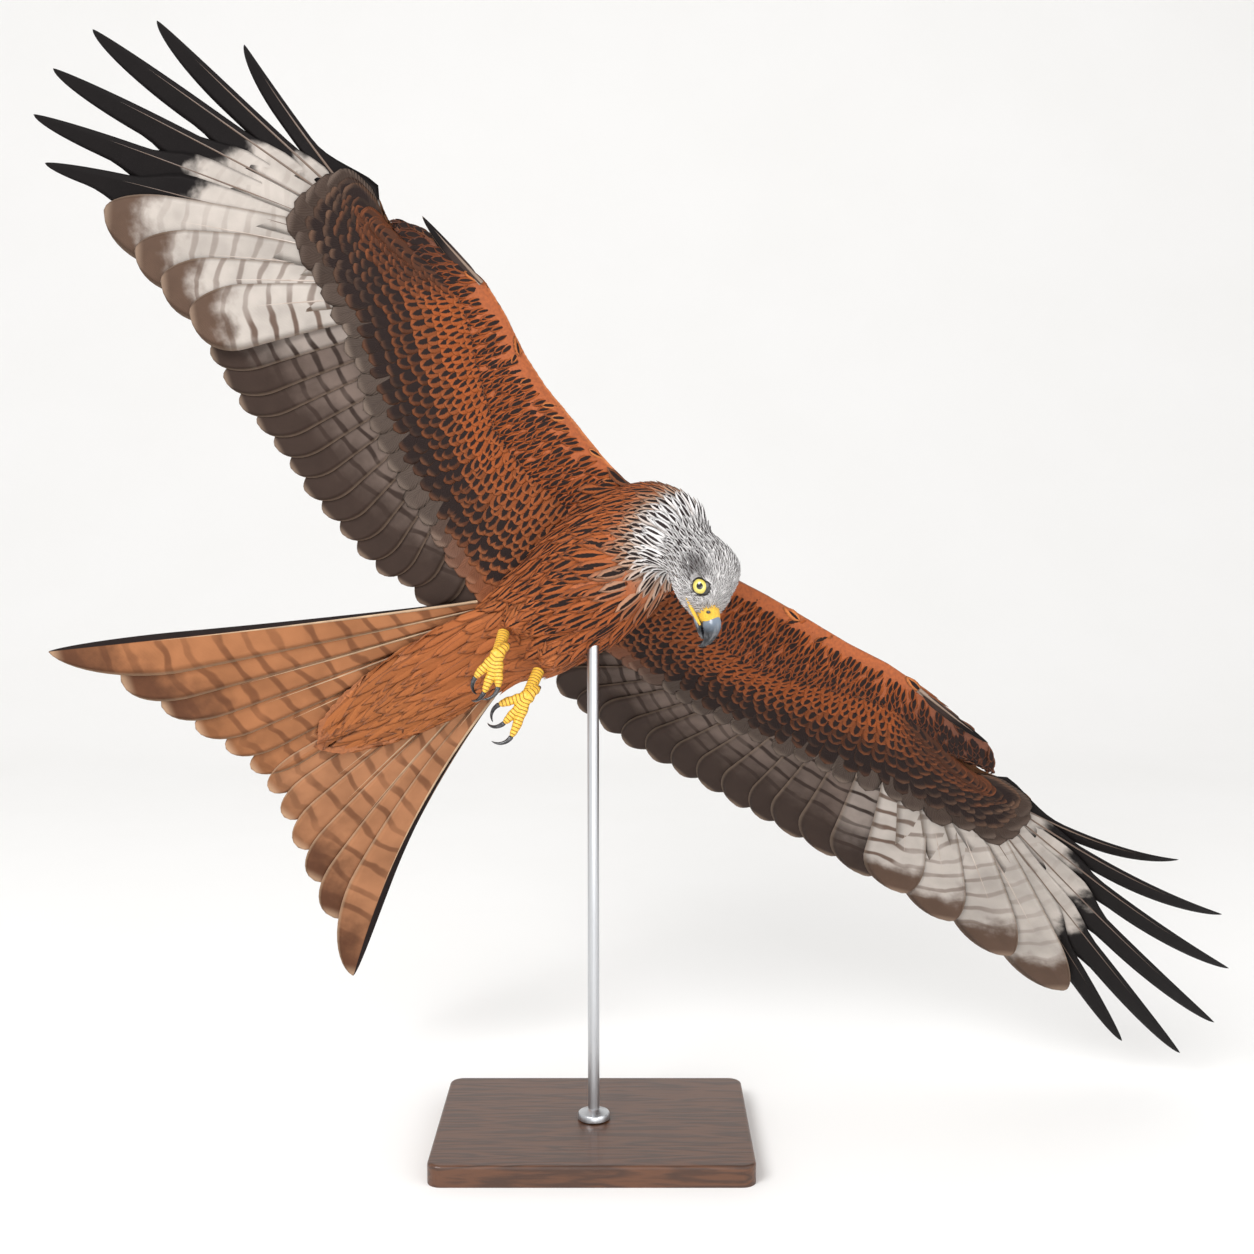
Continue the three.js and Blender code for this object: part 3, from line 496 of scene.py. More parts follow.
# %% Flight feather builder
ROWS, COLUMNS = 30, 9
RODS = 5
ROD_RADIUS, ROD_END, ROD_TAPER = 1.5, 0.12, 0.8
RUNS = 1 - (1 - np.linspace(0, 1, ROWS)) ** 1.5
LOOK_KEYS = ("ground", "bar", "tip", "rim", "back", "bars", "gap", "tip_start", "tip_speed",
             "rim_width", "outer")
VANE_THICKNESS, VANE_CAMBER = 0.55, 0.04


def flight_piece(name, lines, lead, trail, looks, place, slot, nodes, slope=0.05):
    """A group of flight feathers with its shafts. looks holds one dict of values per feather."""
    shafts = np.stack([along(line, RUNS) for line, _ in lines])
    normals = np.zeros_like(shafts)
    normals[..., 2] = 1
    values = {key: [look[key] for look in looks] for key in LOOK_KEYS}
    values["length"] = [length for _, length in lines]
    form = (COLUMNS, VANE_THICKNESS, slope, VANE_CAMBER)
    piece = feather_mesh(name, shafts, normals, (lead, trail), RUNS, form, values, bake_strips,
                         place)
    upper = piece.data.attributes.new("upper", "FLOAT", "FACE")
    upper.data.foreach_set("value", np.repeat([1.0, 0.0], len(piece.data.polygons) // 2))
    settle(piece, FLIGHT, slot, *nodes)
    rod_piece(name + "_shafts", shafts, normals, looks, place, slot)


def bake_strips(vane, quads, size):
    """Gives each face of each blade a strip of its own on the map: upper faces over lower."""
    margin = 0.04
    across, run = vane[:, 0][quads], vane[:, 1][quads]
    u = (quads // size + margin + across * (1 - 2 * margin)) / (len(vane) // size)
    upper = (np.arange(len(quads)) < len(quads) // 2)[:, None]
    v = np.where(upper, 0.505, 0.005) + run * 0.49
    return np.stack([u, v], -1).reshape(-1, 2)


def rod_piece(name, shafts, normals, looks, place, slot):
    """The shafts of a group of flight feathers, as thin rods."""
    matrix, mirrored = place
    sides = frames(shafts, normals)
    turns = np.arange(RODS) * math.tau / RODS
    taper = (ROD_RADIUS * (1 - RUNS) ** ROD_TAPER + ROD_END)[None, :, None, None]
    ring = sides[:, :, None] * np.cos(turns)[:, None] + normals[:, :, None] * np.sin(turns)[:, None]
    corners = shafts[:, :, None] + ring * taper
    count, size = len(shafts), ROWS * RODS
    grid = np.arange(size).reshape(ROWS, RODS)
    turned_grid = np.roll(grid, -1, 1)
    quads = np.stack([grid[:-1], grid[1:], turned_grid[1:], turned_grid[:-1]], -1).reshape(-1, 4)
    quads = (quads + (np.arange(count) * size)[:, None, None]).reshape(-1, 4)
    run = np.tile(np.repeat(RUNS, RODS), count)
    spot = np.tile(np.tile(np.linspace(0.1, 0.9, RODS), ROWS), count)
    u = (np.repeat(np.arange(count), size) + spot) / count
    ground = np.repeat(np.array([look["shaft"] for look in looks]), size, 0)
    world = moved(corners.reshape(-1, 3), matrix)
    maps = {"vane": np.stack([spot, run], -1), "OFBake": np.stack([u, run], -1)}
    rods = mesh_from(name, world, quads, maps, {"ground": ground}, mirrored)
    settle(rods, SHAFT, slot)


def tip_shape(fractions, start, power):
    """Width left at each fraction: full until start, then rounded off to the tip."""
    t = np.clip((fractions - start) / (1 - start), 0, 1)
    return np.maximum((1 - t ** power) ** (1 / power), 0.02)


# %% [markdown]
# In flight the outer vane of each feather lies over the inner vane of the one beyond it, seen
# from above. So every blade is tipped a little about its shaft, with its leading edge up, and
# the fan closes like roof tiles. Vanes are as wide as the gap to their neighbours; the outer
# primaries narrow suddenly where the open slots between the fingers start.

# %% Wings
BUFF = tint(190, 164, 142)
BACK_BROWN = tint(74, 54, 43)
FINGER_BLACK = tint(21, 17, 17)
PLAIN = dict(rim=BUFF, back=BACK_BROWN, bars=0.8, gap=19, tip_start=0.97, tip_speed=14,
             rim_width=0.4, outer=0)
SECONDARY = dict(PLAIN, ground=tint(112, 97, 89), bar=tint(52, 41, 36), tip=tint(60, 47, 41),
                 bars=1.0, gap=18, tip_start=0.56, tip_speed=3.4, shaft=tint(140, 124, 112))
WINDOW = dict(PLAIN, ground=tint(188, 179, 171), bar=tint(104, 86, 76), tip=tint(92, 72, 60),
              tip_start=0.83, tip_speed=10, shaft=tint(212, 200, 190))
FINGER = dict(WINDOW, tip=FINGER_BLACK, rim=FINGER_BLACK, bars=0.15, tip_speed=16, rim_width=0,
              shaft=tint(74, 64, 60))
BLACK_FROM = (0.56, 0.52, 0.45, 0.38, 0.3, 0.05)
WINDOW_BARS = (1.0, 0.9, 0.6, 0.35)
LEAD_SHARE, TRAIL_SHARE = 0.62, 1.12
WIDEST, WIDEST_FINGER, HAND_EDGE = (20, 42), 30, 24
FINGER_TIP, ROUND_TIP = (0.62, 1.75), (0.8, 1.9)


def wing_looks():
    """The looks of a wing's feathers, from the innermost outward."""
    looks = [SECONDARY] * (TERTIALS + SECONDARIES - 1)
    looks.append(dict(SECONDARY, ground=tint(150, 138, 130), tip_start=0.62))
    looks += [dict(WINDOW, bars=bars) for bars in WINDOW_BARS]
    return looks + [dict(FINGER, tip_start=start) for start in BLACK_FROM]


def wing_widths(table, wing, positions):
    """Leading and trailing half widths of each feather from the gaps to its neighbours."""
    lead, trail = [], []
    for position in positions:
        own, ahead, behind = (along(shaft(table, position + step)[0], RUNS)
                              for step in (0, 0.5, -0.5))
        gap_ahead = 2 * np.linalg.norm(ahead - own, axis=1)
        gap_behind = 2 * np.linalg.norm(own - behind, axis=1)
        wide_lead, wide_trail = gap_ahead * LEAD_SHARE, gap_behind * TRAIL_SHARE
        number = int(position - TERTIALS - SECONDARIES + 0.5)
        if number > INNER_PRIMARIES:
            index = number - INNER_PRIMARIES - 1
            slots = (wing["slot"][0] + 0.1, *wing["slot"])
            wide_trail = np.minimum(wide_trail, WIDEST_FINGER)
            opening = slots[min(index + 1, 5)]
            notch_lead = ramp(RUNS, opening - 0.12, opening + 0.04)
            notch_trail = ramp(RUNS, slots[index] - 0.1, slots[index] + 0.06)
            wide_lead = wide_lead + (LEADING_VANE[index] - wide_lead) * notch_lead
            wide_trail = wide_trail + (TRAILING_VANE[index] - wide_trail) * notch_trail
            if number == PRIMARIES:
                # The last primary is the hand's own edge, so it is wide near its root.
                wide_lead = 4 - RUNS + HAND_EDGE * (1 - ramp(RUNS, 0.03, 0.42))
            point = tip_shape(RUNS, *FINGER_TIP)
        else:
            point = tip_shape(RUNS, *ROUND_TIP)
            wide_lead = np.minimum(wide_lead, WIDEST[0])
            wide_trail = np.minimum(wide_trail, WIDEST[1])
        root = 0.35 + 0.65 * ramp(RUNS, 0.0, 0.12)
        lead.append(wide_lead * point * root)
        trail.append(wide_trail * point * root)
    return np.array(lead), np.array(trail)


def build_wing(name):
    """All flight feathers of a wing. Returns its table and where it is placed."""
    wing = WINGS[name]
    table = wing_rows(wing)
    positions = np.arange(len(table)) + 0.5
    lines = [shaft(table, position) for position in positions]
    lead, trail = wing_widths(table, wing, positions)
    looks = wing_looks()
    place = wing_matrix(wing), wing["side"] < 0
    inner = TERTIALS + SECONDARIES
    hand = inner + INNER_PRIMARIES
    fingers = [f"primary_{k}_{name}" for k in range(INNER_PRIMARIES + 1, PRIMARIES + 1)]
    groups = (
        ("secondaries", slice(0, inner), "flight_feathers", [f"secondaries_{name}"]),
        ("inner_primaries", slice(inner, hand), "pale_primaries", [f"primaries_{name}"]),
        ("outer_primaries", slice(hand, None), "dark_primaries", fingers),
    )
    for label, part, slot, nodes in groups:
        flight_piece(f"{label}_{name}_vanes", lines[part], lead[part], trail[part], looks[part],
                     place, slot, nodes)
    return table, place


WING_TABLES = {name: build_wing(name) for name in WINGS}

# %% [markdown]
# The tail is a forked fan of twelve feathers, the outermost the longest. The left half is bent
# round as the bird steers. Narrow dark bars cross rufous vanes, and the outermost feathers have
# a dark outer edge and a pale shaft.

# %% Tail
TAIL_PLACE = (-93, -9, 8)
TAIL_TURN = (12.7, -19.5, 11.2)
TAIL_LENGTH = (302, 310, 324, 342, 366, 417)
TAIL_FAN = 25.3
TAIL_CURL = {"left": 30.5, "right": 3.4}
TAIL_SPACING = 3.5
TAIL_FROM = 0.06
TAIL = BIRD @ Matrix.Translation(TAIL_PLACE) @ turned(*TAIL_TURN)
# Both halves are the same rufous; the right half's ground is painted darker than the left's, as
# painted shade.
TAIL_GROUNDS_WITH_PAINTED_SHADE = {"right": tint(168, 112, 75), "left": tint(174, 121, 86)}
TAIL_VANE = dict(bar=tint(84, 48, 32), tip=tint(96, 62, 44), back=tint(160, 86, 46), bars=0.6,
                 gap=27, tip_start=0.86, tip_speed=6, shaft=tint(222, 188, 150),
                 rim=tint(226, 190, 156), rim_width=0.5, outer=0)


def tail_line(name, rank):
    """A line of the fan at a rank from its middle, 6 at the outer edge, on the left side."""
    bow = math.radians(TAIL_CURL[name]) * (rank / 6) ** 2
    lengths = (TAIL_LENGTH[0], *TAIL_LENGTH)
    at = min(rank + 0.5, 6)
    low = min(int(at), 5)
    length = lengths[low] + (lengths[low + 1] - lengths[low]) * (at - low)
    angle = rank * math.radians(TAIL_FAN) / 5.5 + bow * ((np.arange(STEPS) + 0.5) / STEPS - 0.35)
    steps = np.stack([-np.cos(angle), np.sin(angle), 0 * angle], -1) * length / STEPS
    start = np.array([0, rank * TAIL_SPACING, 0])
    return np.vstack([start, start + np.cumsum(steps, 0)]), length


def build_tail(name):
    """One half of the tail, from the middle feather outward."""
    side = 1 if name == "left" else -1
    fractions = TAIL_FROM + (1 - TAIL_FROM) * RUNS
    lines, lead, trail, looks = [], [], [], []
    for number in range(1, 7):
        last = number == 6
        rank = number - 0.5 + (0.1 if last else 0)
        line, length = tail_line(name, rank)
        own, out, inward = (along(tail_line(name, rank + step)[0], fractions)
                            for step in (0, 0.5, -0.5))
        lines.append((along(line, np.linspace(TAIL_FROM, 1, STEPS + 1)), length))
        wide_out = np.linalg.norm(out - own, axis=1) * (0.45 if last else 1.15)
        wide_in = np.linalg.norm(own - inward, axis=1) * 1.5
        point = tip_shape(fractions, *((0.74, 1.5) if last else (0.84, 2.0)))
        lead.append(wide_out * point)
        trail.append(wide_in * point)
        ground = TAIL_GROUNDS_WITH_PAINTED_SHADE[name]
        own_look = dict(TAIL_VANE, ground=ground, outer=last)
        if number > 3:
            own_look.update(tip_start=0.78, tip_speed=5)
        else:
            own_look["tip"] = tuple(0.6 * level for level in ground)
        looks.append(own_look)
    matrix = TAIL @ Matrix.Diagonal((1, side, 1, 1))
    nodes = [f"tail_feather_{k}_{name}" for k in range(1, 7)]
    flight_piece(f"tail_{name}_vanes", lines, np.array(lead), np.array(trail), looks,
                 (matrix, side < 0), "tail_feathers", nodes, slope=0.06)


for tail_side in ("right", "left"):
    build_tail(tail_side)

# %% [markdown]
# One skin stands for all the flesh. Copies of the flesh solids are swollen a little so that they
# touch, joined, and remeshed to one even surface, which is then smoothed and drawn in by the
# coat's depth. No seam shows where the neck meets the head or the thighs meet the belly.

# %% Skin
FLESH = ["head", "neck", "trunk", "tail_base", "undertail_coverts", "uppertail_coverts",
         "thigh_right", "thigh_left", "wing_arm_right", "wing_arm_left"]
VOXEL = 0.0023
SWELL = 0.0009
COAT_DEPTH = 0.0026
SMOOTHING = (2, 8, 120)
BODY_REACH = 75
NAPE_SHELL = (26, 66)


def flesh_shell():
    """All flesh solids in one mesh, each merged and swollen along its normals."""
    shell = bmesh.new()
    for name in FLESH:
        own = bmesh.new()
        own.from_mesh(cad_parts[name].data)
        bmesh.ops.remove_doubles(own, verts=own.verts, dist=SAME_PLACE)
        own.normal_update()
        swell = 2 * SWELL if name.startswith("wing_arm") else SWELL
        for vertex in own.verts:
            vertex.co += vertex.normal * swell
        copy = bpy.data.meshes.new("copy")
        own.to_mesh(copy)
        own.free()
        shell.from_mesh(copy)
        bpy.data.meshes.remove(copy)
    mesh = bpy.data.meshes.new("skin")
    shell.to_mesh(mesh)
    shell.free()
    return mesh


def applied(piece):
    """The object's mesh with its modifiers applied, and the modifiers gone."""
    graph = bpy.context.evaluated_depsgraph_get()
    mesh = bpy.data.meshes.new_from_object(piece.evaluated_get(graph))
    piece.modifiers.clear()
    piece.data = mesh
    return piece


skin = bpy.data.objects.new("skin", flesh_shell())
bpy.context.collection.objects.link(skin)
remesh = skin.modifiers.new("remesh", "REMESH")
remesh.mode = "VOXEL"
remesh.voxel_size = VOXEL
applied(skin)
print("skin", len(skin.data.polygons), "faces")

# %% [markdown]
# A raptor's eye sits under a bony brow and inside a dark rim of lid. The skin near each eye is
# divided finely, drawn onto a cup round the eyeball, opened in front of it, and raised over it
# in a brow that runs from the cere to behind the eye.

# %% Eyes in the skin
EYE_PLACE = (12.5, 14, 3.5)
EYE_RADIUS = 8.6
EYE_OPENING = 5.3
LID_WIDTH, UPPER_LID = 5, 1.55
BROW_RISE, BROW_DROP = 3.4, 1.6
FINE_SKIN = 16
NAPE_MIDDLE = Vector((-4, 0, 4))
GAZE = (0.35, 0.93, 0.1)


def eye_frame(side):
    """World matrix of an eye: origin at its middle, z along its gaze, in millimetres."""
    centre = Vector((EYE_PLACE[0], side * EYE_PLACE[1], EYE_PLACE[2]))
    gaze = Vector((GAZE[0], side * GAZE[1], GAZE[2])).normalized()
    across = Vector((0, 0, 1)).cross(gaze).normalized()
    up = gaze.cross(across)
    turn = Matrix((across, up, gaze)).transposed().to_4x4()
    return HEAD @ Matrix.Translation(centre) @ turn


def smoothed(form, chosen, factor):
    """Moves the chosen corners towards the middle of their neighbours."""
    bmesh.ops.smooth_vert(form, verts=chosen, factor=factor, use_axis_x=True,
                          use_axis_y=True, use_axis_z=True)


def shape_skin():
    """Draws the skin in by the coat's depth, then makes lids and brows."""
    form = bmesh.new()
    form.from_mesh(skin.data)
    to_head, to_bird = HEAD.inverted(), BIRD.inverted()
    body, nape = [], []
    for vertex in form.verts:
        spot = to_head @ vertex.co
        if abs((to_bird @ vertex.co).y) < BODY_REACH:
            body.append(vertex)
        if NAPE_SHELL[0] < (spot - NAPE_MIDDLE).length < NAPE_SHELL[1] and spot.x < -8:
            nape.append(vertex)
    for chosen, times in zip((list(form.verts), body, nape), SMOOTHING):
        for _ in range(times):
            smoothed(form, chosen, 0.5)
    for _ in range(2):
        near = []
        for face in form.faces:
            spot = to_head @ face.calc_center_median()
            aside = Vector((spot.x, abs(spot.y), spot.z))
            if (aside - Vector(EYE_PLACE)).length < FINE_SKIN:
                near.append(face)
        edges = list({edge for face in near for edge in face.edges})
        bmesh.ops.subdivide_edges(form, edges=edges, cuts=1, use_grid_fill=True, smooth=0.6)
    form.normal_update()
    frames_of_eyes = [(eye_frame(s), eye_frame(s).inverted()) for s in (1, -1)]
    for vertex in form.verts:
        spot = to_head @ vertex.co
        on_head = max(0.0, min(1.0, (42 - spot.length) / 14))
        level = to_bird @ vertex.co
        on_wing = max(0.0, min(1.0, (abs(level.y) - 60) / 50))
        inward = vertex.normal * (COAT_DEPTH + SWELL) * (1 - 0.55 * on_head)
        vertex.co -= inward * (1 - 0.85 * on_wing)
        for out, back in frames_of_eyes:
            local = back @ vertex.co
            if local.length > 24 or local.z < -3:
                continue
            vertex.co = out @ lid_place(local)
    smoothed(form, [v for v in form.verts if (to_head @ v.co).length < 30], 0.15)
    bmesh.ops.triangulate(form, faces=[f for f in form.faces if len(f.verts) > 4])
    form.to_mesh(skin.data)
    form.free()


def lid_place(local):
    """Moves a skin point beside an eye, in the eye's frame, to the lid or the brow."""
    around = math.hypot(local.x, local.y * (UPPER_LID if local.y > 0 else 1.0))
    place = local.copy()
    if around < EYE_OPENING:
        depth = math.sqrt(max(EYE_RADIUS ** 2 - around ** 2, 0)) - 1.6
        place.z = min(place.z, depth)
    elif around < EYE_OPENING + LID_WIDTH:
        outer = math.sqrt(max((EYE_RADIUS + 0.9) ** 2 - min(around, EYE_RADIUS) ** 2, 0.2))
        hold = 1 - ramp(np.float64(around), EYE_OPENING + 1.0, EYE_OPENING + LID_WIDTH)
        place.z += (max(outer, 1.5) - place.z) * float(hold) * 0.85
    brow = math.exp(-(((local.y - 6.6) / 2.4) ** 2) - (((local.x + 1.5) / 9) ** 2))
    place.z += BROW_RISE * brow
    place.y -= BROW_DROP * brow
    return place


shape_skin()
print("shaped skin", len(skin.data.polygons), "faces")

# %% [markdown]
# Every small feather takes its colour from where it grows, and the skin under it is painted the
# same, so no gap flashes white. The skin is unwrapped once, and each feather's bake patch sits
# at its root's place on that unwrap.

# %% Unwrap the skin
def unwrap(piece):
    """Unwraps a piece by its own shape, on the map OFBake."""
    for other in bpy.context.selected_objects:
        other.select_set(False)
    bpy.context.view_layer.objects.active = piece
    piece.select_set(True)
    piece.data.uv_layers.new(name="OFBake")
    bpy.ops.object.mode_set(mode="EDIT")
    bpy.ops.mesh.select_all(action="SELECT")
    bpy.ops.uv.smart_project(angle_limit=math.radians(66), island_margin=0.003)
    bpy.ops.object.mode_set(mode="OBJECT")
    piece.select_set(False)


unwrap(skin)

# %% [markdown]
# The breast and belly are rufous with dark streaks, and the head is grey-white. The forewing is
# rufous below, the hand browner, and whatever faces the bird's back is dark brown. Colours run
# into each other over a few centimetres.

# %% Plumage colours by place
RUFOUS = np.array(tint(168, 92, 50))
BELLY = np.array(tint(178, 104, 60))
VENT = np.array(tint(172, 104, 60))
HEAD_GREY = np.array(tint(244, 241, 240))
NAPE_BUFF = np.array(tint(216, 190, 164))
ARM_RUFOUS = np.array(tint(158, 82, 40))
ARM_EDGE = np.array(tint(204, 124, 70))
HAND_BROWN = np.array(tint(84, 50, 36))
BACK_FEATHER = np.array(tint(122, 76, 50))
LID = np.array(tint(42, 38, 38))
EYE_STRIPE = np.array(tint(112, 108, 108))
INK = np.array(tint(38, 28, 26))
GREY_INK = np.array(tint(54, 47, 48))
TO_BIRD = np.array(BIRD.inverted())
TO_HEAD = np.array(HEAD.inverted())


def mix(first, second, amount):
    """Blends colours row by row."""
    return first + (second - first) * np.asarray(amount)[..., None]


def coat_at(points, normals, region):
    """Ground and ink colours with streak widths, for places in world metres."""
    bird, head = moved(points, TO_BIRD), moved(points, TO_HEAD)
    facing = normals @ np.array(BIRD)[:3, :3] / MM
    above = ramp(facing[:, 2], 0.05, 0.45)
    count = len(points)
    ground, ink = np.tile(RUFOUS, (count, 1)), np.tile(INK, (count, 1))
    if region == "arm":
        ground = mix(np.tile(ARM_RUFOUS, (count, 1)), ARM_EDGE, ramp(facing[:, 0], 0.9, 1.0))
        hand = ramp(np.abs(bird[:, 1]), 225, 300)
        ground = mix(ground, HAND_BROWN, hand * 0.85)
        return mix(ground, BACK_FEATHER, above * 0.8), ink, 0.38 + 0.1 * above + 0.25 * hand
    if region in ("undertail", "uppertail", "thigh"):
        ground = mix(np.tile(BELLY, (count, 1)), VENT, ramp(-bird[:, 0], 110, 190))
        return mix(ground, BACK_FEATHER, above * 0.35), ink, np.full(count, 0.02)
    behind = ramp(-bird[:, 0], 20, 105)
    ground = mix(mix(ground, BELLY, behind), BACK_FEATHER, above * 0.7)
    streak = 0.3 - 0.24 * behind + 0.16 * above
    reach = np.linalg.norm(head - (-12, 0, 9), axis=1)
    pale, grey = 1 - ramp(reach, 46, 78), 1 - ramp(reach, 36, 60)
    ground = mix(mix(ground, NAPE_BUFF, pale * 0.7), HEAD_GREY, grey)
    ink = mix(ink, GREY_INK, grey * 0.6)
    crown = 1 - ramp(np.linalg.norm(head - (4, 0, 2), axis=1), 24, 40)
    streak = streak + 0.05 * pale - 0.06 * crown
    aside = np.stack([head[:, 0], np.abs(head[:, 1]), head[:, 2]], -1)
    mask = 1 - ramp(np.linalg.norm(aside - (4, 20, 6), axis=1), 5, 15)
    ground = mix(ground, EYE_STRIPE, mask * 0.8)
    lid = 1 - ramp(eye_distance(points), EYE_OPENING + 1.6, EYE_OPENING + 2.6)
    return mix(ground, LID, lid), ink, streak


def eye_distance(points):
    """How far places lie from the nearer eye's line of gaze, in millimetres."""
    nearest = np.full(len(points), 99.0)
    for side in (1, -1):
        local = moved(points, eye_frame(side).inverted())
        rise = local[:, 1] * np.where(local[:, 1] > 0, UPPER_LID, 1.0)
        around = np.where(local[:, 2] > 0, np.hypot(local[:, 0], rise), 99.0)
        nearest = np.minimum(nearest, around)
    return nearest


# %% [markdown]
# The plumage paint draws each small feather from its own values: a ground colour, a dark streak
# along the shaft that tapers at both ends, and a rim. Fine barbs run out from the shaft.

# %% Plumage paint
def plumage_paint():
    """The paint of the coat and of the wing coverts."""
    paint = Paint("plumage")
    across, along_it = paint.vane()
    off = abs(across)
    tone = paint.attribute("tone")
    streak = paint.attribute("streak")
    body = along_it.ease(0.1, 0.55) * (1.0 - along_it.ease(0.75, 1.0))
    frayed = (along_it * 60.0 - off * 30.0).sine() * 0.03
    mask = 1.0 - ((off + frayed - streak * body) * 9.0).ease(-0.5, 0.7)
    mask = mask * streak.ease(0.02, 0.14)
    ground = paint.attribute("ground", "Color")
    ground = paint.blend(tone * 0.26, ground, BLACK)
    colour = paint.blend(mask, ground, paint.attribute("ink", "Color"))
    edge = (off + frayed).ease(0.72, 1.02).most(along_it.ease(0.86, 1.0))
    edge = edge * paint.attribute("rim_width") * (tone * 1.1 + 0.3)
    colour = paint.blend(edge, colour, paint.attribute("rim", "Color"))
    barbs = (along_it * 95.0 - off * 38.0).sine() * 0.5 + 0.5
    colour = paint.blend(barbs * 0.1, colour, BLACK)
    return paint.finish(colour, 0.7, barbs, 0.35, Specular_IOR_Level=0.12)


def skin_paint():
    """Down of the coat's own colours, for the skin between the feathers' roots."""
    paint = Paint("skin_down")
    fluff = paint.noise(paint.place(), 420.0, 4.0)
    ground = paint.attribute("ground", "Color")
    colour = paint.blend(fluff.ease(0.35, 0.7) * 0.25, ground, paint.attribute("ink", "Color"))
    return paint.finish(colour, 0.85, fluff, 0.4)


PLUMAGE = plumage_paint()
SKIN = skin_paint()

# %% [markdown]
# Each corner of the skin belongs to the flesh solid that lies nearest to it, and that decides
# which of the coat's rules it follows.

# %% Paint the skin
FLESH_TREES = {}
for flesh in FLESH:
    tree_form = bmesh.new()
    tree_form.from_mesh(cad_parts[flesh].data)
    FLESH_TREES[flesh] = BVHTree.FromBMesh(tree_form)
    tree_form.free()
REGION_OF = {"head": "body", "neck": "body", "trunk": "body", "tail_base": "body",
             "undertail_coverts": "undertail", "uppertail_coverts": "uppertail",
             "thigh_right": "thigh", "thigh_left": "thigh",
             "wing_arm_right": "arm", "wing_arm_left": "arm"}


def nearest_flesh(points):
    """The name of the flesh solid nearest to each place."""
    names = list(FLESH_TREES)
    found = np.full((len(names), len(points)), 1.0)
    for row, name in enumerate(names):
        for column, point in enumerate(points):
            distance = FLESH_TREES[name].find_nearest(point, 0.05)[3]
            if distance is not None:
                found[row, column] = distance
    return np.array(names)[np.argmin(found, 0)]


def coat_for(points, normals, names):
    """coat_at for places of mixed regions."""
    ground, ink = np.zeros((len(points), 4)), np.zeros((len(points), 4))
    streak = np.zeros(len(points))
    for region in sorted(set(REGION_OF.values())):
        chosen = np.array([REGION_OF[name] == region for name in names])
        if chosen.any():
            values = coat_at(points[chosen], normals[chosen], region)
            ground[chosen], ink[chosen], streak[chosen] = values
    return ground, ink, streak


skin_points = np.array([v.co[:] for v in skin.data.vertices])
skin_normals = np.array([v.normal[:] for v in skin.data.vertices])
skin_names = nearest_flesh(skin_points)
skin_ground, skin_ink, _ = coat_for(skin_points, skin_normals, skin_names)
store(skin, "ground", skin_ground)
store(skin, "ink", skin_ink)
for face in skin.data.polygons:
    face.use_smooth = True
settle(skin, SKIN, "body_feathers", *FLESH)

# %% [markdown]
# Small feathers are sown over the skin: places are drawn by area and thinned until no two are
# nearer than the feathers' spacing there. From each place a feather walks over the skin in the
# lie of the coat, which streams back from the bill, down the body to the tail, out along the
# wings and down the thighs, and it lifts off towards its tip so that it covers the next roots.

# %% Sow feathers
dice = np.random.default_rng(11)
CANDIDATES = 7
SKIN_TREE = BVHTree.FromObject(skin, bpy.context.evaluated_depsgraph_get())
SIZES = {
    # part: length, width, spacing and lift at the tip, in millimetres
    "head": (13, 4.3, 2.8, 1.0), "neck": (23, 7.0, 4.8, 2.0), "trunk": (36, 10.5, 7.4, 2.8),
    "tail_base": (44, 9, 6.6, 2.6), "undertail_coverts": (66, 8, 5.8, 2.4),
    "uppertail_coverts": (56, 15, 9.0, 2.6), "thigh_right": (32, 6, 4.2, 2.4),
    "thigh_left": (32, 6, 4.2, 2.4), "wing_arm_right": (18, 7.4, 4.7, 1.3),
    "wing_arm_left": (18, 7.4, 4.7, 1.3),
}


def triangles_of(mesh):
    """Corner places, face numbers and areas of a mesh's triangles."""
    mesh.calc_loop_triangles()
    corners = np.array([tri.vertices[:] for tri in mesh.loop_triangles])
    faces = np.array([tri.polygon_index for tri in mesh.loop_triangles])
    spots = np.array([v.co[:] for v in mesh.vertices])[corners]
    across = np.cross(spots[:, 1] - spots[:, 0], spots[:, 2] - spots[:, 0])
    return corners, spots, faces, 0.5 * np.linalg.norm(across, axis=1)


def sown(part):
    """Root places for one part of the coat, thinned to its spacing."""
    corners, spots, faces, area = triangles_of(skin.data)
    own = skin_names[corners[:, 0]] == part
    spacing = SIZES[part][2] * MM
    count = int(area[own].sum() / spacing ** 2 * CANDIDATES)
    picks = dice.choice(np.flatnonzero(own), count, p=area[own] / area[own].sum())
    r = np.sqrt(dice.random(count))
    s = dice.random(count)
    weights = np.stack([1 - r, r * (1 - s), r * s], -1)
    points = (spots[picks] * weights[..., None]).sum(1)
    kept, cells = [], {}
    for index, point in enumerate(points):
        room = spacing * face_scale(point, part)
        cell = tuple((point // spacing).astype(int))
        near = (cells.get((cell[0] + a, cell[1] + b, cell[2] + c), ())
                for a, b, c in product((-1, 0, 1), repeat=3))
        if all(np.sum((points[k] - point) ** 2) > room ** 2 for group in near for k in group):
            cells.setdefault(cell, []).append(index)
            kept.append(index)
    kept = np.array(kept)
    return points[kept], faces[picks[kept]]


def face_scale(point, part):
    """How large a feather is beside the others of its part: they shrink towards the bill."""
    if part != "head":
        return 1.0
    spot = TO_HEAD[:3, :3] @ point + TO_HEAD[:3, 3]
    return float(1.0 - 0.6 * ramp(np.float64(spot[0]), -14, 22))


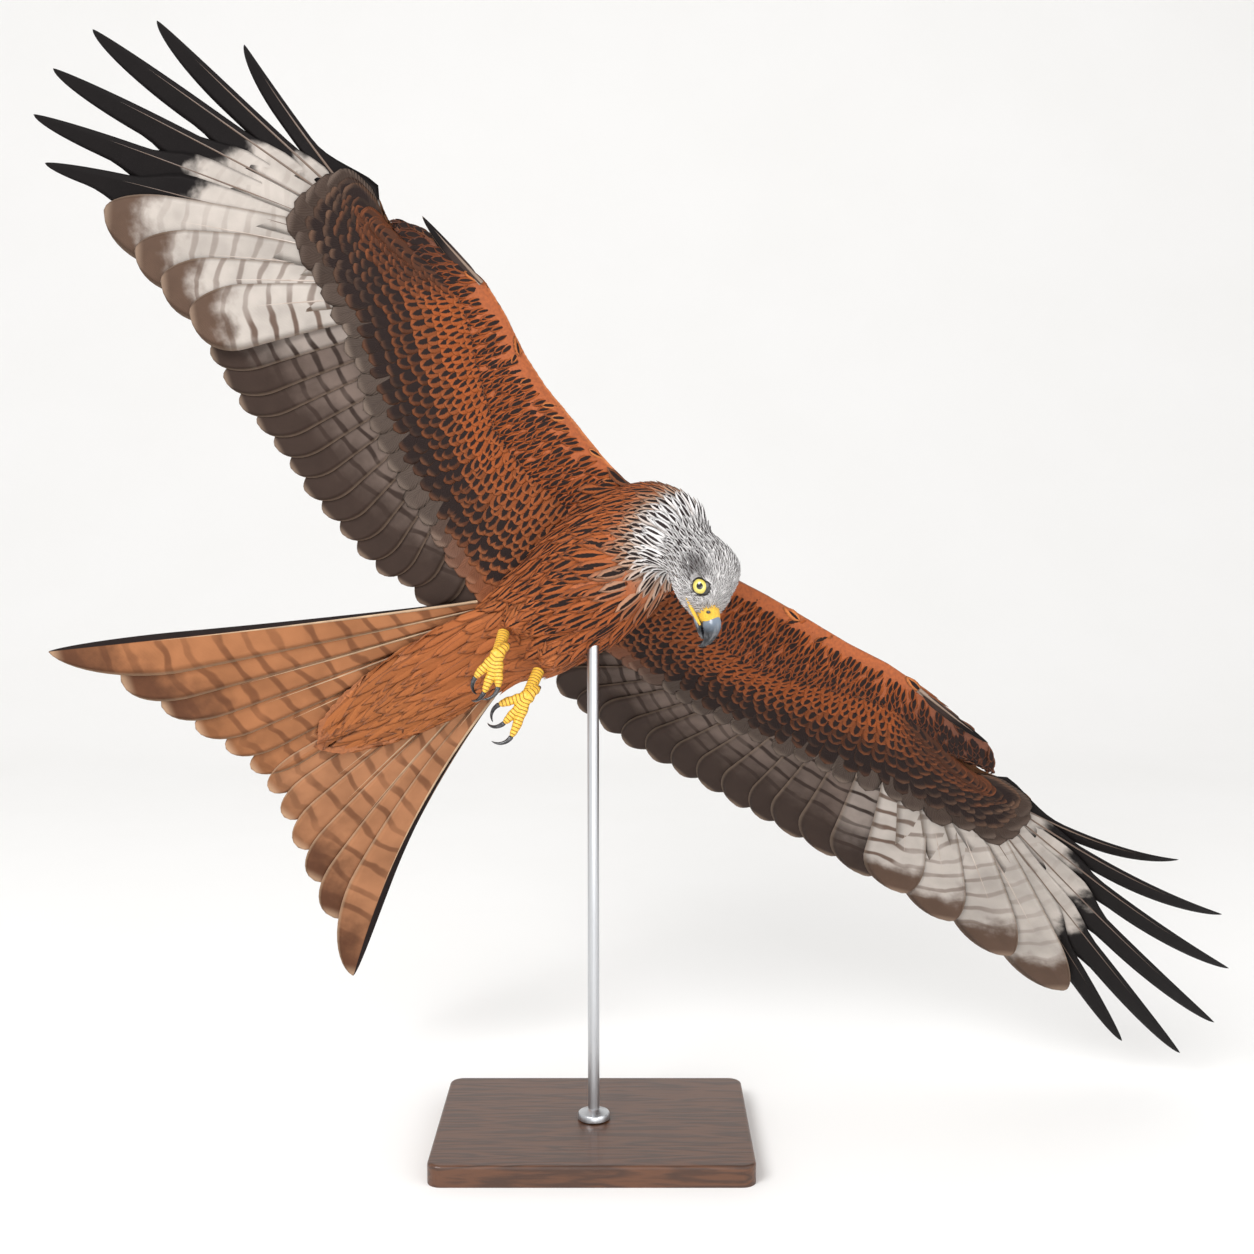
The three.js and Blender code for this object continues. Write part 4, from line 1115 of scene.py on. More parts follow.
def lie(points, part):
    """The direction in which the coat lies at places in world metres."""
    bird = moved(points, TO_BIRD)
    if part.startswith("wing_arm"):
        wing = WINGS[part.split("_")[2]]
        out = bird[:, 1] * wing["side"] - SHOULDER[1]
        outward = 0.25 + 0.9 * ramp(out, 150, 260)
        way = np.stack([np.full(len(bird), -1.0), wing["side"] * outward, 0 * out], -1)
    elif part.startswith("thigh"):
        way = np.tile(np.array([-0.62, 0.05, -0.7]), (len(bird), 1))
    else:
        bill = np.array(BIRD.inverted() @ HEAD @ Vector((48, 0, -8)))
        tail = np.array([-330.0, -70.0, -14.0])
        from_bill = bird - bill
        distance = np.linalg.norm(from_bill, axis=1, keepdims=True)
        to_tail = tail - bird
        to_tail /= np.linalg.norm(to_tail, axis=1, keepdims=True)
        near = np.exp(-((distance / 95) ** 3)) * 3
        way = from_bill / distance * near + to_tail
    world = way @ (np.array(BIRD)[:3, :3] / MM).T
    return world / np.linalg.norm(world, axis=1, keepdims=True)


def walk(roots, ways, lengths, lifts, rows):
    """Shaft points and normals of feathers that follow the skin from their roots."""
    shafts, normals = np.zeros((len(roots), rows, 3)), np.zeros((len(roots), rows, 3))
    for index, root in enumerate(roots):
        spot, way = Vector(root), Vector(ways[index])
        step = lengths[index] / (rows - 1)
        for row in range(rows):
            near, normal, _, _ = SKIN_TREE.find_nearest(spot)
            way = (way - normal * way.dot(normal)).normalized()
            lift = lifts[index] * (0.15 + 0.85 * row / (rows - 1)) - 0.0002
            shafts[index, row] = near + normal * lift
            normals[index, row] = normal
            spot = near + way * step
    # Two passes of smoothing take the skin's small bumps out of each feather.
    for _ in range(2):
        normals[:, 1:-1] = (normals[:, :-2] + normals[:, 1:-1] + normals[:, 2:]) / 3
        shafts[:, 1:-1] = (shafts[:, :-2] + 2 * shafts[:, 1:-1] + shafts[:, 2:]) / 4
    return shafts, normals / np.linalg.norm(normals, axis=-1, keepdims=True)


# %% [markdown]
# On the bake map each feather of the coat is a small square. It is centred on the place that the
# feather's root has on the skin's unwrap.

# %% Skin map at the roots
PATCH = 0.003
uv_layer = skin.data.uv_layers["OFBake"].data


def root_map(points, faces):
    """Where each root lies on the skin's unwrap."""
    places = []
    for point, number in zip(points, faces):
        face = skin.data.polygons[number]
        corners = [skin.data.vertices[k].co for k in face.vertices]
        weights = poly_3d_calc(corners, Vector(point))
        uvs = [uv_layer[k].uv for k in face.loop_indices]
        places.append(sum((uv * w for uv, w in zip(uvs, weights)), Vector((0, 0))))
    return np.array([place[:] for place in places])


# %% [markdown]
# Each piece of the coat is sown, laid and joined in one go. Feathers that would fold up on
# themselves, or reach over an eye, are left out.

# %% Coat
NAPE_FLUFF = 3.4
COAT_THICKNESS, COAT_CAMBER = 0.18 * MM, 0.22
# A feather has to reach this share of its length from its root, or it is left out.
LEAST_REACH = 0.4
TAIL_COVERT_REACH = {"undertail_coverts": 0.88, "uppertail_coverts": 0.88}


def coat_piece(name, parts, rows, columns, slot):
    """The small feathers of some parts of the skin, as one piece."""
    groups = []
    for part in parts:
        length, width, _, lift = (value * MM for value in SIZES[part])
        points, faces = sown(part)
        scale = np.array([face_scale(point, part) for point in points])
        scale = scale * (0.88 + 0.24 * dice.random(len(points)))
        ways = lie(points, part)
        normals = np.array([skin.data.polygons[f].normal[:] for f in faces])
        swing = (dice.random(len(points)) - 0.5) * 0.3
        ways = ways + np.cross(normals, ways) * swing[:, None]
        lifts = lift * (0.7 + 0.6 * dice.random(len(points)))
        if part in ("head", "neck"):
            spots = moved(points, TO_HEAD)
            away = np.linalg.norm(spots - np.array(NAPE_MIDDLE), axis=1)
            fluffed = ramp(away, 22, 36) * (1 - ramp(away, 46, 64)) * ramp(spots[:, 2], -16, -4)
            lifts = lifts + NAPE_FLUFF * MM * fluffed
        shafts, ups = walk(points, ways, length * scale, lifts, rows)
        values = coat_for(points, normals, [part] * len(points))
        gaps = eye_distance(shafts.reshape(-1, 3)).reshape(len(points), -1)
        reached = np.linalg.norm(shafts[:, -1] - shafts[:, 0], axis=1)
        laid = reached > TAIL_COVERT_REACH.get(part, LEAST_REACH) * length * scale
        clear = (gaps.min(1) > EYE_OPENING + 1.2) & laid
        columns_of = (shafts, ups, width * scale, root_map(points, faces), *values)
        groups.append([column[clear] for column in columns_of])
    joined = [np.concatenate(column) for column in zip(*groups)]
    shafts, ups, width, roots, ground, ink, streak = joined
    fractions = np.linspace(0, 1, rows)
    shape = (0.55 + 0.45 * ramp(fractions, 0, 0.35)) * tip_shape(fractions, 0.55, 1.9)
    half = width[:, None] / 2 * shape
    tone = dice.random(len(shafts))
    values = {"ground": ground, "ink": ink, "rim": mix(ground, np.ones(4), 0.12), "tone": tone,
              "streak": streak * (0.75 + 0.5 * dice.random(len(shafts))),
              "rim_width": np.full(len(shafts), 0.35)}
    piece = feather_mesh(name, shafts, ups, (half, half), fractions,
                         (columns, COAT_THICKNESS, 0.0, COAT_CAMBER), values,
                         lambda vane, quads, size: np.repeat(roots, size, 0) + (vane - 0.5) * PATCH)
    settle(piece, PLUMAGE, slot)


coat_piece("coat_head", ["head"], 5, 3, "head_feathers")
coat_piece("coat_neck", ["neck"], 6, 5, "body_feathers")
coat_piece("coat_trunk", ["trunk", "tail_base"], 6, 5, "body_feathers")
coat_piece("coat_thighs", ["thigh_right", "thigh_left"], 6, 3, "body_feathers")
coat_piece("coat_undertail", ["undertail_coverts"], 7, 5, "body_feathers")
coat_piece("coat_uppertail", ["uppertail_coverts"], 7, 5, "body_feathers")
coat_piece("coat_arm_right", ["wing_arm_right"], 6, 5, "covert_feathers")
coat_piece("coat_arm_left", ["wing_arm_left"], 6, 5, "covert_feathers")

# %% [markdown]
# Covert feathers bridge from the arm to the flight feathers, in rows that overlap like tiles. On
# the underside the row nearest the flight feathers is grey-brown with pale edges, the next is
# nearly black with rufous edges, and over the hand they are dark grey on the white window.

# %% Wing coverts
COVERT_ROWS = (
    # millimetres of the tips behind the roots' line, length, width, how many to a flight
    # feather, streak width and colours
    (107, 64, 26, 1.0, 0.05, "greater"), (90, 54, 22, 1.25, 0.6, "median"),
    (77, 46, 20, 1.35, 0.7, "median"), (65, 40, 18, 1.4, 0.6, "lower_median"),
    (54, 34, 16, 1.45, 0.45, "lower_median"), (43, 30, 15, 1.5, 0.34, "lesser"),
    (33, 27, 14, 1.55, 0.3, "lesser"), (24, 25, 13, 1.6, 0.3, "least"),
    (15, 24, 12, 1.6, 0.26, "least"), (6, 24, 11, 1.6, 0.24, "least"),
    (-2, 22, 11, 1.6, 0.24, "least"),
)
AXILLARY = (tint(140, 78, 44), tint(172, 104, 64))
ARM_COVERT = {"greater": (tint(82, 70, 63), tint(136, 120, 108)),
              "median": (tint(46, 35, 31), tint(116, 76, 54)),
              "lower_median": (tint(84, 50, 34), tint(134, 78, 46)),
              "lesser": (tint(132, 72, 40), tint(160, 90, 52)),
              "least": (tint(154, 80, 40), tint(174, 98, 54))}
HAND_COVERT = {"greater": (tint(68, 55, 48), tint(116, 100, 90)),
               "median": (tint(54, 42, 37), tint(120, 90, 72)),
               "lower_median": (tint(48, 37, 32), tint(126, 80, 56)),
               "lesser": (tint(84, 50, 34), tint(142, 82, 50)),
               "least": (tint(78, 48, 34), tint(140, 80, 50))}
BACK_COVERT = (tint(84, 60, 46), tint(156, 104, 66))
HAND_ZONE = TERTIALS + SECONDARIES
COVERT_RUNS = 1 - (1 - np.linspace(0, 1, 9)) ** 1.4
COVERT_FORM = (7, 0.35, 0.05, 0.12)


def covert_places(count, per, shift):
    """Positions across the wing. Tertials lie far apart, so they carry more coverts each."""
    inner = np.arange(-0.2 + shift * 0.2, TERTIALS, 0.4 / per)
    return np.concatenate([inner, np.arange(TERTIALS + shift / per, count - 0.4, 1 / per)])


def covert_row(table, row, lower):
    """Shafts, widths and colours of one row of coverts on one face of a wing."""
    tip, length, width, per, streak, colours = COVERT_ROWS[row]
    shafts, widths, grounds, rims = [], [], [], []
    for position in covert_places(len(table), per, 0.5 * (row % 2)):
        position = position + dice.uniform(-0.14, 0.14) / per
        line, whole = shaft(table, position)
        hand = float(ramp(np.float64(position), HAND_ZONE - 1, HAND_ZONE + 3))
        # Over the outermost primaries the coverts are shorter, so the dark vanes edge the hand.
        outmost = max(0, (position - 21) / 5)
        grown = length * (1 + 0.1 * hand - 0.35 * outmost) * dice.uniform(0.92, 1.08)
        reach = tip * (1 + 0.1 * hand) * (1 - 0.62 * outmost)
        from_root = reach - grown + dice.uniform(-2, 2)
        t = COVERT_RUNS
        points = along(line, (from_root + grown * t) / whole)
        near = 1 - ramp(np.float64(position), 0.5, 5)
        stack = 2.5 + 1.2 * near + 3.0 * np.exp(-np.maximum(from_root + grown * t + 16, 0) / 45)
        depth = stack + 0.9 * (2 * t - 1)
        points[:, 0] += grown * dice.uniform(-0.05, 0.05) * t
        points[:, 0] += 5 * float(ramp(np.float64(position), 23.5, 25.6)) * (1 - 0.6 * t)
        points[:, 2] += -depth if lower else depth
        shafts.append(points)
        widths.append(width * (1 + 0.25 * hand) * dice.uniform(0.92, 1.08))
        for held, k in ((grounds, 0), (rims, 1)):
            arm = np.array(ARM_COVERT[colours][k])
            if lower:
                colour = arm + (np.array(HAND_COVERT[colours][k]) - arm) * hand
                colour = colour + (np.array(AXILLARY[k]) - colour) * near * 0.85
            else:
                colour = np.array(BACK_COVERT[k])
            held.append(colour)
    streaks = np.full(len(shafts), streak)
    return np.array(shafts), np.array(widths), np.array(grounds), np.array(rims), streaks


def bake_cells(vane, quads, size):
    """A square of the map for each feather."""
    count = len(vane) // size
    across = math.ceil(math.sqrt(count))
    cell = np.stack([np.arange(count) % across, np.arange(count) // across], -1)
    return (np.repeat(cell, size, 0) + 0.05 + vane * 0.9) / across


def covert_piece(name, lower):
    """All rows of coverts on one face of a wing."""
    table, place = WING_TABLES[name]
    parts = [covert_row(table, row, lower) for row in range(len(COVERT_ROWS))]
    shafts, widths, ground, rim, streak = (np.concatenate(column) for column in zip(*parts))
    shape = (0.6 + 0.4 * ramp(COVERT_RUNS, 0, 0.3)) * tip_shape(COVERT_RUNS, 0.62, 2.3)
    half = widths[:, None] / 2 * shape
    normals = np.zeros_like(shafts)
    normals[..., 2] = -1 if lower else 1
    count = len(shafts)
    values = {"ground": ground, "rim": rim, "ink": np.tile(INK, (count, 1)), "streak": streak,
              "tone": dice.random(count), "rim_width": np.full(count, 0.6)}
    piece = feather_mesh(f"{'under' if lower else 'upper'}_coverts_{name}", shafts, normals,
                         (half, half), COVERT_RUNS, COVERT_FORM, values, bake_cells, place)
    settle(piece, PLUMAGE, "covert_feathers")


for wing_name in WINGS:
    covert_piece(wing_name, True)
    covert_piece(wing_name, False)

# %% [markdown]
# Eyes, bill, feet and claws are smooth horn and skin. They are lofts: rings of a circle placed
# along a line and bridged. The same helper makes them all from a table of stations.

# %% Loft helper
LEAST_RADIUS = 0.15


def smooth_rows(table, count):
    """Rows along a smooth curve through a table's rows."""
    table = np.array(table, float)
    at = np.linspace(0, len(table) - 1, count)
    low = np.clip(np.floor(at).astype(int), 0, len(table) - 2)
    u = (at - low)[:, None]
    a, b, c, d = (table[np.clip(low + k, 0, len(table) - 1)] for k in (-1, 0, 1, 2))
    slope, following = (c - a) / 2, (d - b) / 2
    lift = 2 * b - 2 * c + slope + following
    return ((lift * u - 3 * b + 3 * c - 2 * slope - following) * u + slope) * u + b


def loft(name, middles, wide, high, sides=20, matrix=None, up=(0, 0, 1)):
    """A closed loft through ring middles, with half widths and heights, in the matrix's frame."""
    form = bmesh.new()
    ways = np.gradient(np.array(middles), axis=0)
    rings = []
    run = form.verts.layers.float.new("along")
    for index, (middle, way) in enumerate(zip(middles, ways)):
        way = Vector(way).normalized()
        side = Vector(up).cross(way).normalized()
        top = way.cross(side)
        turn = Matrix((side * wide[index], top * high[index], way)).transposed().to_4x4()
        ring = bmesh.ops.create_circle(form, segments=sides, radius=1.0,
                                       matrix=Matrix.Translation(Vector(middle)) @ turn)["verts"]
        for vertex in ring:
            vertex[run] = index / (len(middles) - 1)
        rings.append(ring)
    bmesh.ops.bridge_loops(form, edges=list(form.edges))
    for ring in (rings[0], rings[-1]):
        bmesh.ops.contextual_create(form, geom=list({e for v in ring for e in v.link_edges
                                                     if e.other_vert(v) in ring}))
    bmesh.ops.recalc_face_normals(form, faces=form.faces)
    bmesh.ops.transform(form, matrix=matrix or BIRD, verts=form.verts)
    return made(form, name)


def station_loft(name, table, rings, sides=24):
    """A loft in the head's frame from rows of forward, rise, half width and half height."""
    rows = smooth_rows(table, rings)
    middles = np.stack([rows[:, 0], 0 * rows[:, 0], rows[:, 1]], -1)
    wide, high = np.maximum(rows[:, 2], LEAST_RADIUS), np.maximum(rows[:, 3], LEAST_RADIUS)
    return loft(name, middles, wide, high, sides, HEAD)


# %% [markdown]
# The bill is slate grey, darker and glossier to its hooked tip. The cere above it is bare
# yellow skin with the nostrils, and the same yellow runs back along the gape below the eye.

# %% Bill, cere and gape
UPPER_BILL = ((31, -1.5, 5.2, 6.6), (36, -1.5, 5.6, 7.2), (41, -2.2, 5.5, 7.7),
              (46, -4.6, 4.1, 6.6), (50.5, -8.6, 2.6, 4.4), (52.8, -13.4, 1.3, 2.1),
              (52.2, -18, 0.25, 0.35))
LOWER_BILL = ((27, -12.2, 5.2, 2.4), (34, -12.4, 5, 2.8), (43, -12.6, 3.6, 2.2),
              (48, -12.6, 1.2, 0.9))
CERE = ((24, -2.0, 6.5, 7.5), (27, -2.2, 8.2, 9.0), (31, -2.2, 7.9, 9.0), (35, -2.2, 6.8, 8.3),
        (37.6, -3.0, 5.9, 7.5), (38.4, -3.4, 5.2, 6.8))


def horn_paint(name, base, tip, blend_start, rough):
    """Glossy horn that darkens along its length."""
    paint = Paint(name)
    run = paint.attribute("along")
    grain = paint.noise(paint.place(), 240.0)
    colour = paint.blend((run + grain * 0.15).ease(blend_start, blend_start + 0.36), base, tip)
    colour = paint.blend(grain.ease(0.4, 0.8) * 0.2, colour, tint(160, 160, 165))
    return paint.finish(colour, rough, grain, 0.08, Coat_Weight=0.3)


def yellow_paint(name, base, dark, scale):
    """Bare yellow skin with fine scales."""
    paint = Paint(name)
    cells = paint.cells(scale)
    edge = 1.0 - cells.ease(0.0, 0.16)
    grain = paint.noise(paint.place(), scale * 1.3)
    colour = paint.blend(grain, base, tint(244, 204, 84))
    colour = paint.blend(edge * 0.45, colour, dark)
    return paint.finish(colour, 0.42, cells.least(0.2) * 5.0, 0.5, Subsurface_Weight=0.1,
                        Subsurface_Scale=0.002)


def foot_paint():
    """Yellow scales, with broad plates across the front of toes and shank, and grooves between them
    darkened partly in their own colour and partly as painted shade.
    """
    paint = Paint("foot_skin")
    wobble = paint.noise(paint.place(), 300.0) * 0.5
    bands = abs((paint.attribute("run") * (math.pi / 3.1) + wobble).sine()).ease(0.05, 0.6)
    cells = paint.cells(620.0).ease(0.0, 0.2)
    front = paint.attribute("front").ease(0.1, 0.5)
    plates = cells + front * (bands - cells)
    grain = paint.noise(paint.place(), 700.0)
    colour = paint.blend(grain, tint(226, 168, 40), tint(240, 196, 84))
    # The grooves are darkened brown: partly the scales' own dark joints, partly painted shade in
    # the grooves.
    colour = paint.blend((1.0 - plates) * 0.75, colour, tint(112, 70, 20))
    return paint.finish(colour, 0.4, plates, 0.7, Subsurface_Weight=0.1, Subsurface_Scale=0.002)


BILL_HORN = horn_paint("bill_horn", tint(112, 124, 138), tint(18, 20, 24), 0.3, 0.26)
CLAW_HORN = horn_paint("claw_horn", tint(52, 50, 54), tint(16, 16, 18), 0.1, 0.22)
CERE_SKIN = yellow_paint("cere_skin", tint(236, 184, 34), tint(170, 110, 16), 900.0)
FOOT_SKIN = foot_paint()
settle(station_loft("bill_upper_horn", UPPER_BILL, 26), BILL_HORN, "bill_horn", "bill_upper")
settle(station_loft("bill_lower_horn", LOWER_BILL, 14), BILL_HORN, "bill_horn", "bill_lower")
settle(station_loft("cere_bare", CERE, 14), CERE_SKIN, "yellow_skin", "cere")
for side in (1, -1):
    gape = [(39, side * 5.4, -9.6), (33, side * 8.2, -10.2), (26, side * 10.8, -10.8),
            (18, side * 13.2, -11.6), (11, side * 14.6, -12.6)]
    line = smooth_rows(gape, 16)
    width = 1.5 * np.sin(np.linspace(0.5, math.pi - 0.12, 16))
    label = "left" if side > 0 else "right"
    settle(loft(f"gape_{label}", line, width, width, 10, HEAD), CERE_SKIN, "yellow_skin")
    # Each nostril is a small loft of dark horn laid on the cere: painted shade where the nostril
    # opens.
    nostril = [(31.5, side * 8.0, 1.2), (32.6, side * 7.9, 0.6), (33.7, side * 7.5, 0.0)]
    pit = loft(f"nostril_{label}", smooth_rows(nostril, 6), [0.2, 1.0, 1.3, 1.3, 1.0, 0.2],
               [0.2, 1.4, 1.9, 1.9, 1.4, 0.2], 12, HEAD)
    settle(pit, CLAW_HORN, "bill_horn")

# %% [markdown]
# The eye is a glossy ball with a pale yellow iris, a small black pupil and a dark ring. Its pole
# points along the gaze, and each corner stores how far it lies from that pole, stretched at the
# top so that the dark ring reaches lower there: a painted shadow of the brow.

# %% Eyes
def eye_paint():
    """Pupil, iris and dark rim, by distance from the pole; at the top the rim is painted shadow of
    the brow.
    """
    paint = Paint("iris")
    ring = paint.attribute("ring")
    rays = paint.noise(paint.place(), 900.0, 4.0)
    outward = (ring + rays * 0.05).ease(0.36, 0.66)
    colour = paint.blend(outward, tint(222, 214, 112), tint(198, 180, 74))
    colour = paint.blend(rays.ease(0.45, 0.75) * 0.3, colour, tint(164, 146, 60))
    colour = paint.blend(1.0 - ring.ease(0.31, 0.34), colour, tint(6, 6, 8))
    colour = paint.blend(ring.ease(0.66, 0.72), colour, tint(22, 18, 16))
    return paint.finish(colour, 0.06, None, Coat_Weight=1.0, Coat_Roughness=0.02)


BROW_SHADE = 0.45
IRIS = eye_paint()
for side, label in ((1, "left"), (-1, "right")):
    ball = bmesh.new()
    ring_layer = ball.verts.layers.float.new("ring")
    bmesh.ops.create_uvsphere(ball, u_segments=48, v_segments=40, radius=EYE_RADIUS)
    for vertex in ball.verts:
        around = math.hypot(vertex.co.x, vertex.co.y) / EYE_RADIUS
        # Stretching the distance at the top widens the dark ring there: painted shadow of the brow
        # on the iris.
        around *= 1 + BROW_SHADE * max(vertex.co.y, 0) / EYE_RADIUS
        vertex[ring_layer] = around if vertex.co.z > 0 else 1.0
    bmesh.ops.transform(ball, matrix=eye_frame(side), verts=ball.verts)
    settle(made(ball, f"eye_{label}_ball"), IRIS, "iris", f"eye_{label}")

# %% [markdown]
# The feet hang half closed. Each toe is a loft with a pad under every joint, and toes, ball and
# shank are remeshed together so that the web between them is soft.

# %% Feet and claws
LEGS = {
    "right": dict(cuff=(-99, -20, -50), ball=(-101, -12, -76), way=(-0.68, 0.39, -0.62),
                  toes=((-27, 27, 12, -49), (6, 34, 12, 39), (29, 28, 12, 84), (160, 15, 60, 0))),
    "left": dict(cuff=(-101, 24, -50), ball=(-109, 31, -76), way=(-0.73, 0.25, -0.63),
                 toes=((-49, 25, 12, -69), (-6, 30, 12, 51), (15, 37, 12, 83), (160, 15, 60, 0))),
}
FOOT_BACK = Vector((-0.497, 0.108, 0.861))
CLAW_LENGTH, CLAW_RADIUS, CLAW_BEND = 20, 2.6, 1.7
TOE_RADIUS, SHANK_RADIUS = 4.1, 5.2
TOE_STEPS, CLAW_STEPS, FOOT_VOXEL = 24, 18, 0.0006
KNOB = ((-6, 1.5), (-4.5, 4.4), (-2, 6.0), (0, 6.3), (2, 6.0), (4.5, 4.4), (6, 1.5))


def toe_lines(leg, toe):
    """Middle lines of a toe and of its claw."""
    sideways, length, curl, turn = toe
    ball, way = Vector(leg["ball"]), Vector(leg["way"]).normalized()
    across = FOOT_BACK.cross(way).normalized()
    sole = way.cross(across).normalized()
    down = sole * math.cos(math.radians(turn)) + across * math.sin(math.radians(turn))
    start = way * math.cos(math.radians(sideways)) - across * math.sin(math.radians(sideways))
    start.normalize()
    down = (down - start * down.dot(start)).normalized()
    end = math.radians(curl)
    line, point = [ball.copy()], ball.copy()
    for i in range(TOE_STEPS):
        bend = end * (i + 0.5) / TOE_STEPS
        point = point + (start * math.cos(bend) + down * math.sin(bend)) * (length / TOE_STEPS)
        line.append(point.copy())
    tip = start * math.cos(end) + down * math.sin(end)
    inward = down * math.cos(end) - start * math.sin(end)
    claw = []
    for t in np.linspace(0, 1, CLAW_STEPS):
        bend = t * CLAW_BEND
        claw.append(point + tip * (CLAW_LENGTH * math.sin(bend) / CLAW_BEND - 1.6)
                    + inward * (CLAW_LENGTH * (1 - math.cos(bend)) / CLAW_BEND))
    return line, claw


def build_foot(name):
    """A foot with its shank, and four claws."""
    leg = LEGS[name]
    parts, bones = [], []
    for number, toe in enumerate(leg["toes"], 1):
        line, claw = toe_lines(leg, toe)
        t = np.linspace(0, 1, len(line))
        pads = 1 + 0.09 * np.cos(t * math.tau * 3)
        rounded = np.sqrt(np.sin(np.pi * np.clip(t, 0.03, 0.985)) * 2.4)
        radius = TOE_RADIUS * (1.12 - 0.3 * t) * pads * np.minimum(1, rounded)
        parts.append(loft("toe", line, radius, radius, 16, up=(0.2, 0.1, 1)))
        bones.append(line)
        t = np.linspace(0, 1, len(claw))
        slim = CLAW_RADIUS * (1 - t) ** 0.7 * np.minimum(1, t * 8 + 0.45) + 0.12
        claw_horn = loft(f"claw_{number}_{name}_horn", claw, slim * 0.86, slim, 14,
                         up=(0.2, 0.1, 1))
        settle(claw_horn, CLAW_HORN, "claw_horn", f"claw_{number}_{name}")
    cuff, ball = Vector(leg["cuff"]), Vector(leg["ball"])
    shank = [cuff.lerp(ball, t) for t in np.linspace(-0.05, 1.0, 12)]
    thick = np.full(12, SHANK_RADIUS)
    parts.append(loft("shank", shank, thick, thick, 18, up=(1, 0, 0)))
    knob = [ball + Vector(leg["way"]) * along_it for along_it, _ in KNOB]
    round_off = np.array([radius for _, radius in KNOB])
    parts.append(loft("knob", knob, round_off * 1.05, round_off * 0.9, 18))
    bones.append([cuff.lerp(ball, t) for t in np.linspace(-0.05, 1.0, 24)])
    joined_foot(name, parts, bones)


def joined_foot(name, parts, bones):
    """One skin over toes and shank. Each corner stores its place along the nearest bone."""
    form = bmesh.new()
    for part in parts:
        form.from_mesh(part.data)
        bpy.data.objects.remove(part)
    foot = made(form, f"foot_{name}_skin")
    voxels = foot.modifiers.new("remesh", "REMESH")
    voxels.mode = "VOXEL"
    voxels.voxel_size = FOOT_VOXEL
    soften = foot.modifiers.new("soften", "SMOOTH")
    soften.factor = 0.5
    soften.iterations = 3
    applied(foot)
    spots = moved(np.array([v.co[:] for v in foot.data.vertices]), TO_BIRD)
    marks, runs = [], []
    for bone in bones:
        bone = np.array([point[:] for point in bone])
        gaps = np.linalg.norm(np.diff(bone, axis=0), axis=1)
        fine = np.linspace(0, len(bone) - 1, 160)
        marks.append(along(bone, fine / (len(bone) - 1)))
        runs.append(np.interp(fine, np.arange(len(bone)), np.concatenate([[0], np.cumsum(gaps)])))
    marks, runs = np.concatenate(marks), np.concatenate(runs)
    nearest = np.array([np.argmin(((marks - spot) ** 2).sum(1)) for spot in spots])
    seen = ((spots - marks[nearest]) @ np.array(-FOOT_BACK)) / TOE_RADIUS
    store(foot, "run", runs[nearest])
    store(foot, "front", seen)
    for face in foot.data.polygons:
        face.use_smooth = True
    settle(foot, FOOT_SKIN, "yellow_skin", f"foot_{name}", f"tarsus_{name}")


for foot_name in LEGS:
    build_foot(foot_name)

# %% [markdown]
# The alula is a small tuft of dark feathers on the thumb, at the bend of the wing.

# %% Alula
ALULA = {"right": ((22, 204), (-0.035, 0.999)), "left": ((76, 209), (0.14, 0.99))}
ALULA_LOOK = dict(SECONDARY, ground=tint(60, 48, 44), tip=FINGER_BLACK, tip_start=0.4, bars=0.1)
for wing_name in WINGS:
    root, way = (np.array([*pair, 0.0]) for pair in ALULA[wing_name])
    back = np.array([-way[1], way[0], 0.0])
    alula_lines = []
    for k in range(4):
        start = root + back * (3.2 * k - 0.5) - (0, 0, 4.5 - 0.9 * k)
        reach = 74 - 11 * k
        run = np.linspace(0, 1, STEPS + 1)
        bent = np.outer(run, way) * reach - np.outer(run ** 2, back) * 1.5
        alula_lines.append((start + bent, reach))
    vane_tip = tip_shape(RUNS, 0.45, 1.5) * (0.3 + 0.7 * ramp(RUNS, 0, 0.25))
    flight_piece(f"alula_{wing_name}_vanes", alula_lines, np.tile(2.6 * vane_tip, (4, 1)),
                 np.tile(7.0 * vane_tip, (4, 1)), [ALULA_LOOK] * 4, WING_TABLES[wing_name][1],
                 "dark_primaries", [f"alula_{wing_name}"])

# %% [markdown]
# The stand is kept plain so that the bird is what is seen: an oiled hardwood base with a soft
# edge, and a brushed steel rod with a turned collar.

# %% Stand
BASE_SIZE = (0.270, 0.200, 0.018)
BASE_CORNER, BASE_EDGE = 0.012, 0.0025
ROD_PROFILE = ((0, 18.3), (12.5, 18.3), (14, 19.2), (14, 23), (13.2, 24.5), (6.5, 26.6),
               (5, 28), (5, 486), (0, 486))


def wood_paint():
    """Dark wood with its grain along the base."""
    paint = Paint("oiled_wood")
    stretched = paint.place((3.0, 26.0, 26.0))
    swirl = paint.noise(stretched, 2.6, 4.0)
    rings = ((swirl * 34.0).sine() * 0.5 + 0.5) * 0.7 + paint.noise(stretched, 18.0) * 0.3
    colour = paint.blend(rings, tint(96, 60, 38), tint(58, 36, 24))
    return paint.finish(colour, 0.42, rings, 0.12, Coat_Weight=0.15)


def steel_paint():
    """Steel brushed along the rod."""
    paint = Paint("brushed_steel")
    drawn = paint.place((900.0, 900.0, 14.0))
    grain = paint.noise(drawn, 1.0)
    colour = paint.blend(grain, tint(178, 180, 184), tint(208, 210, 212))
    return paint.finish(colour, grain * 0.15 + 0.25, grain, 0.05, Metallic=1.0)


def bevelled(form, edges, offset, segments):
    """Rounds some edges of a form."""
    bmesh.ops.bevel(form, geom=edges, offset=offset, affect="EDGES", segments=segments,
                    profile=0.5, material=-1)


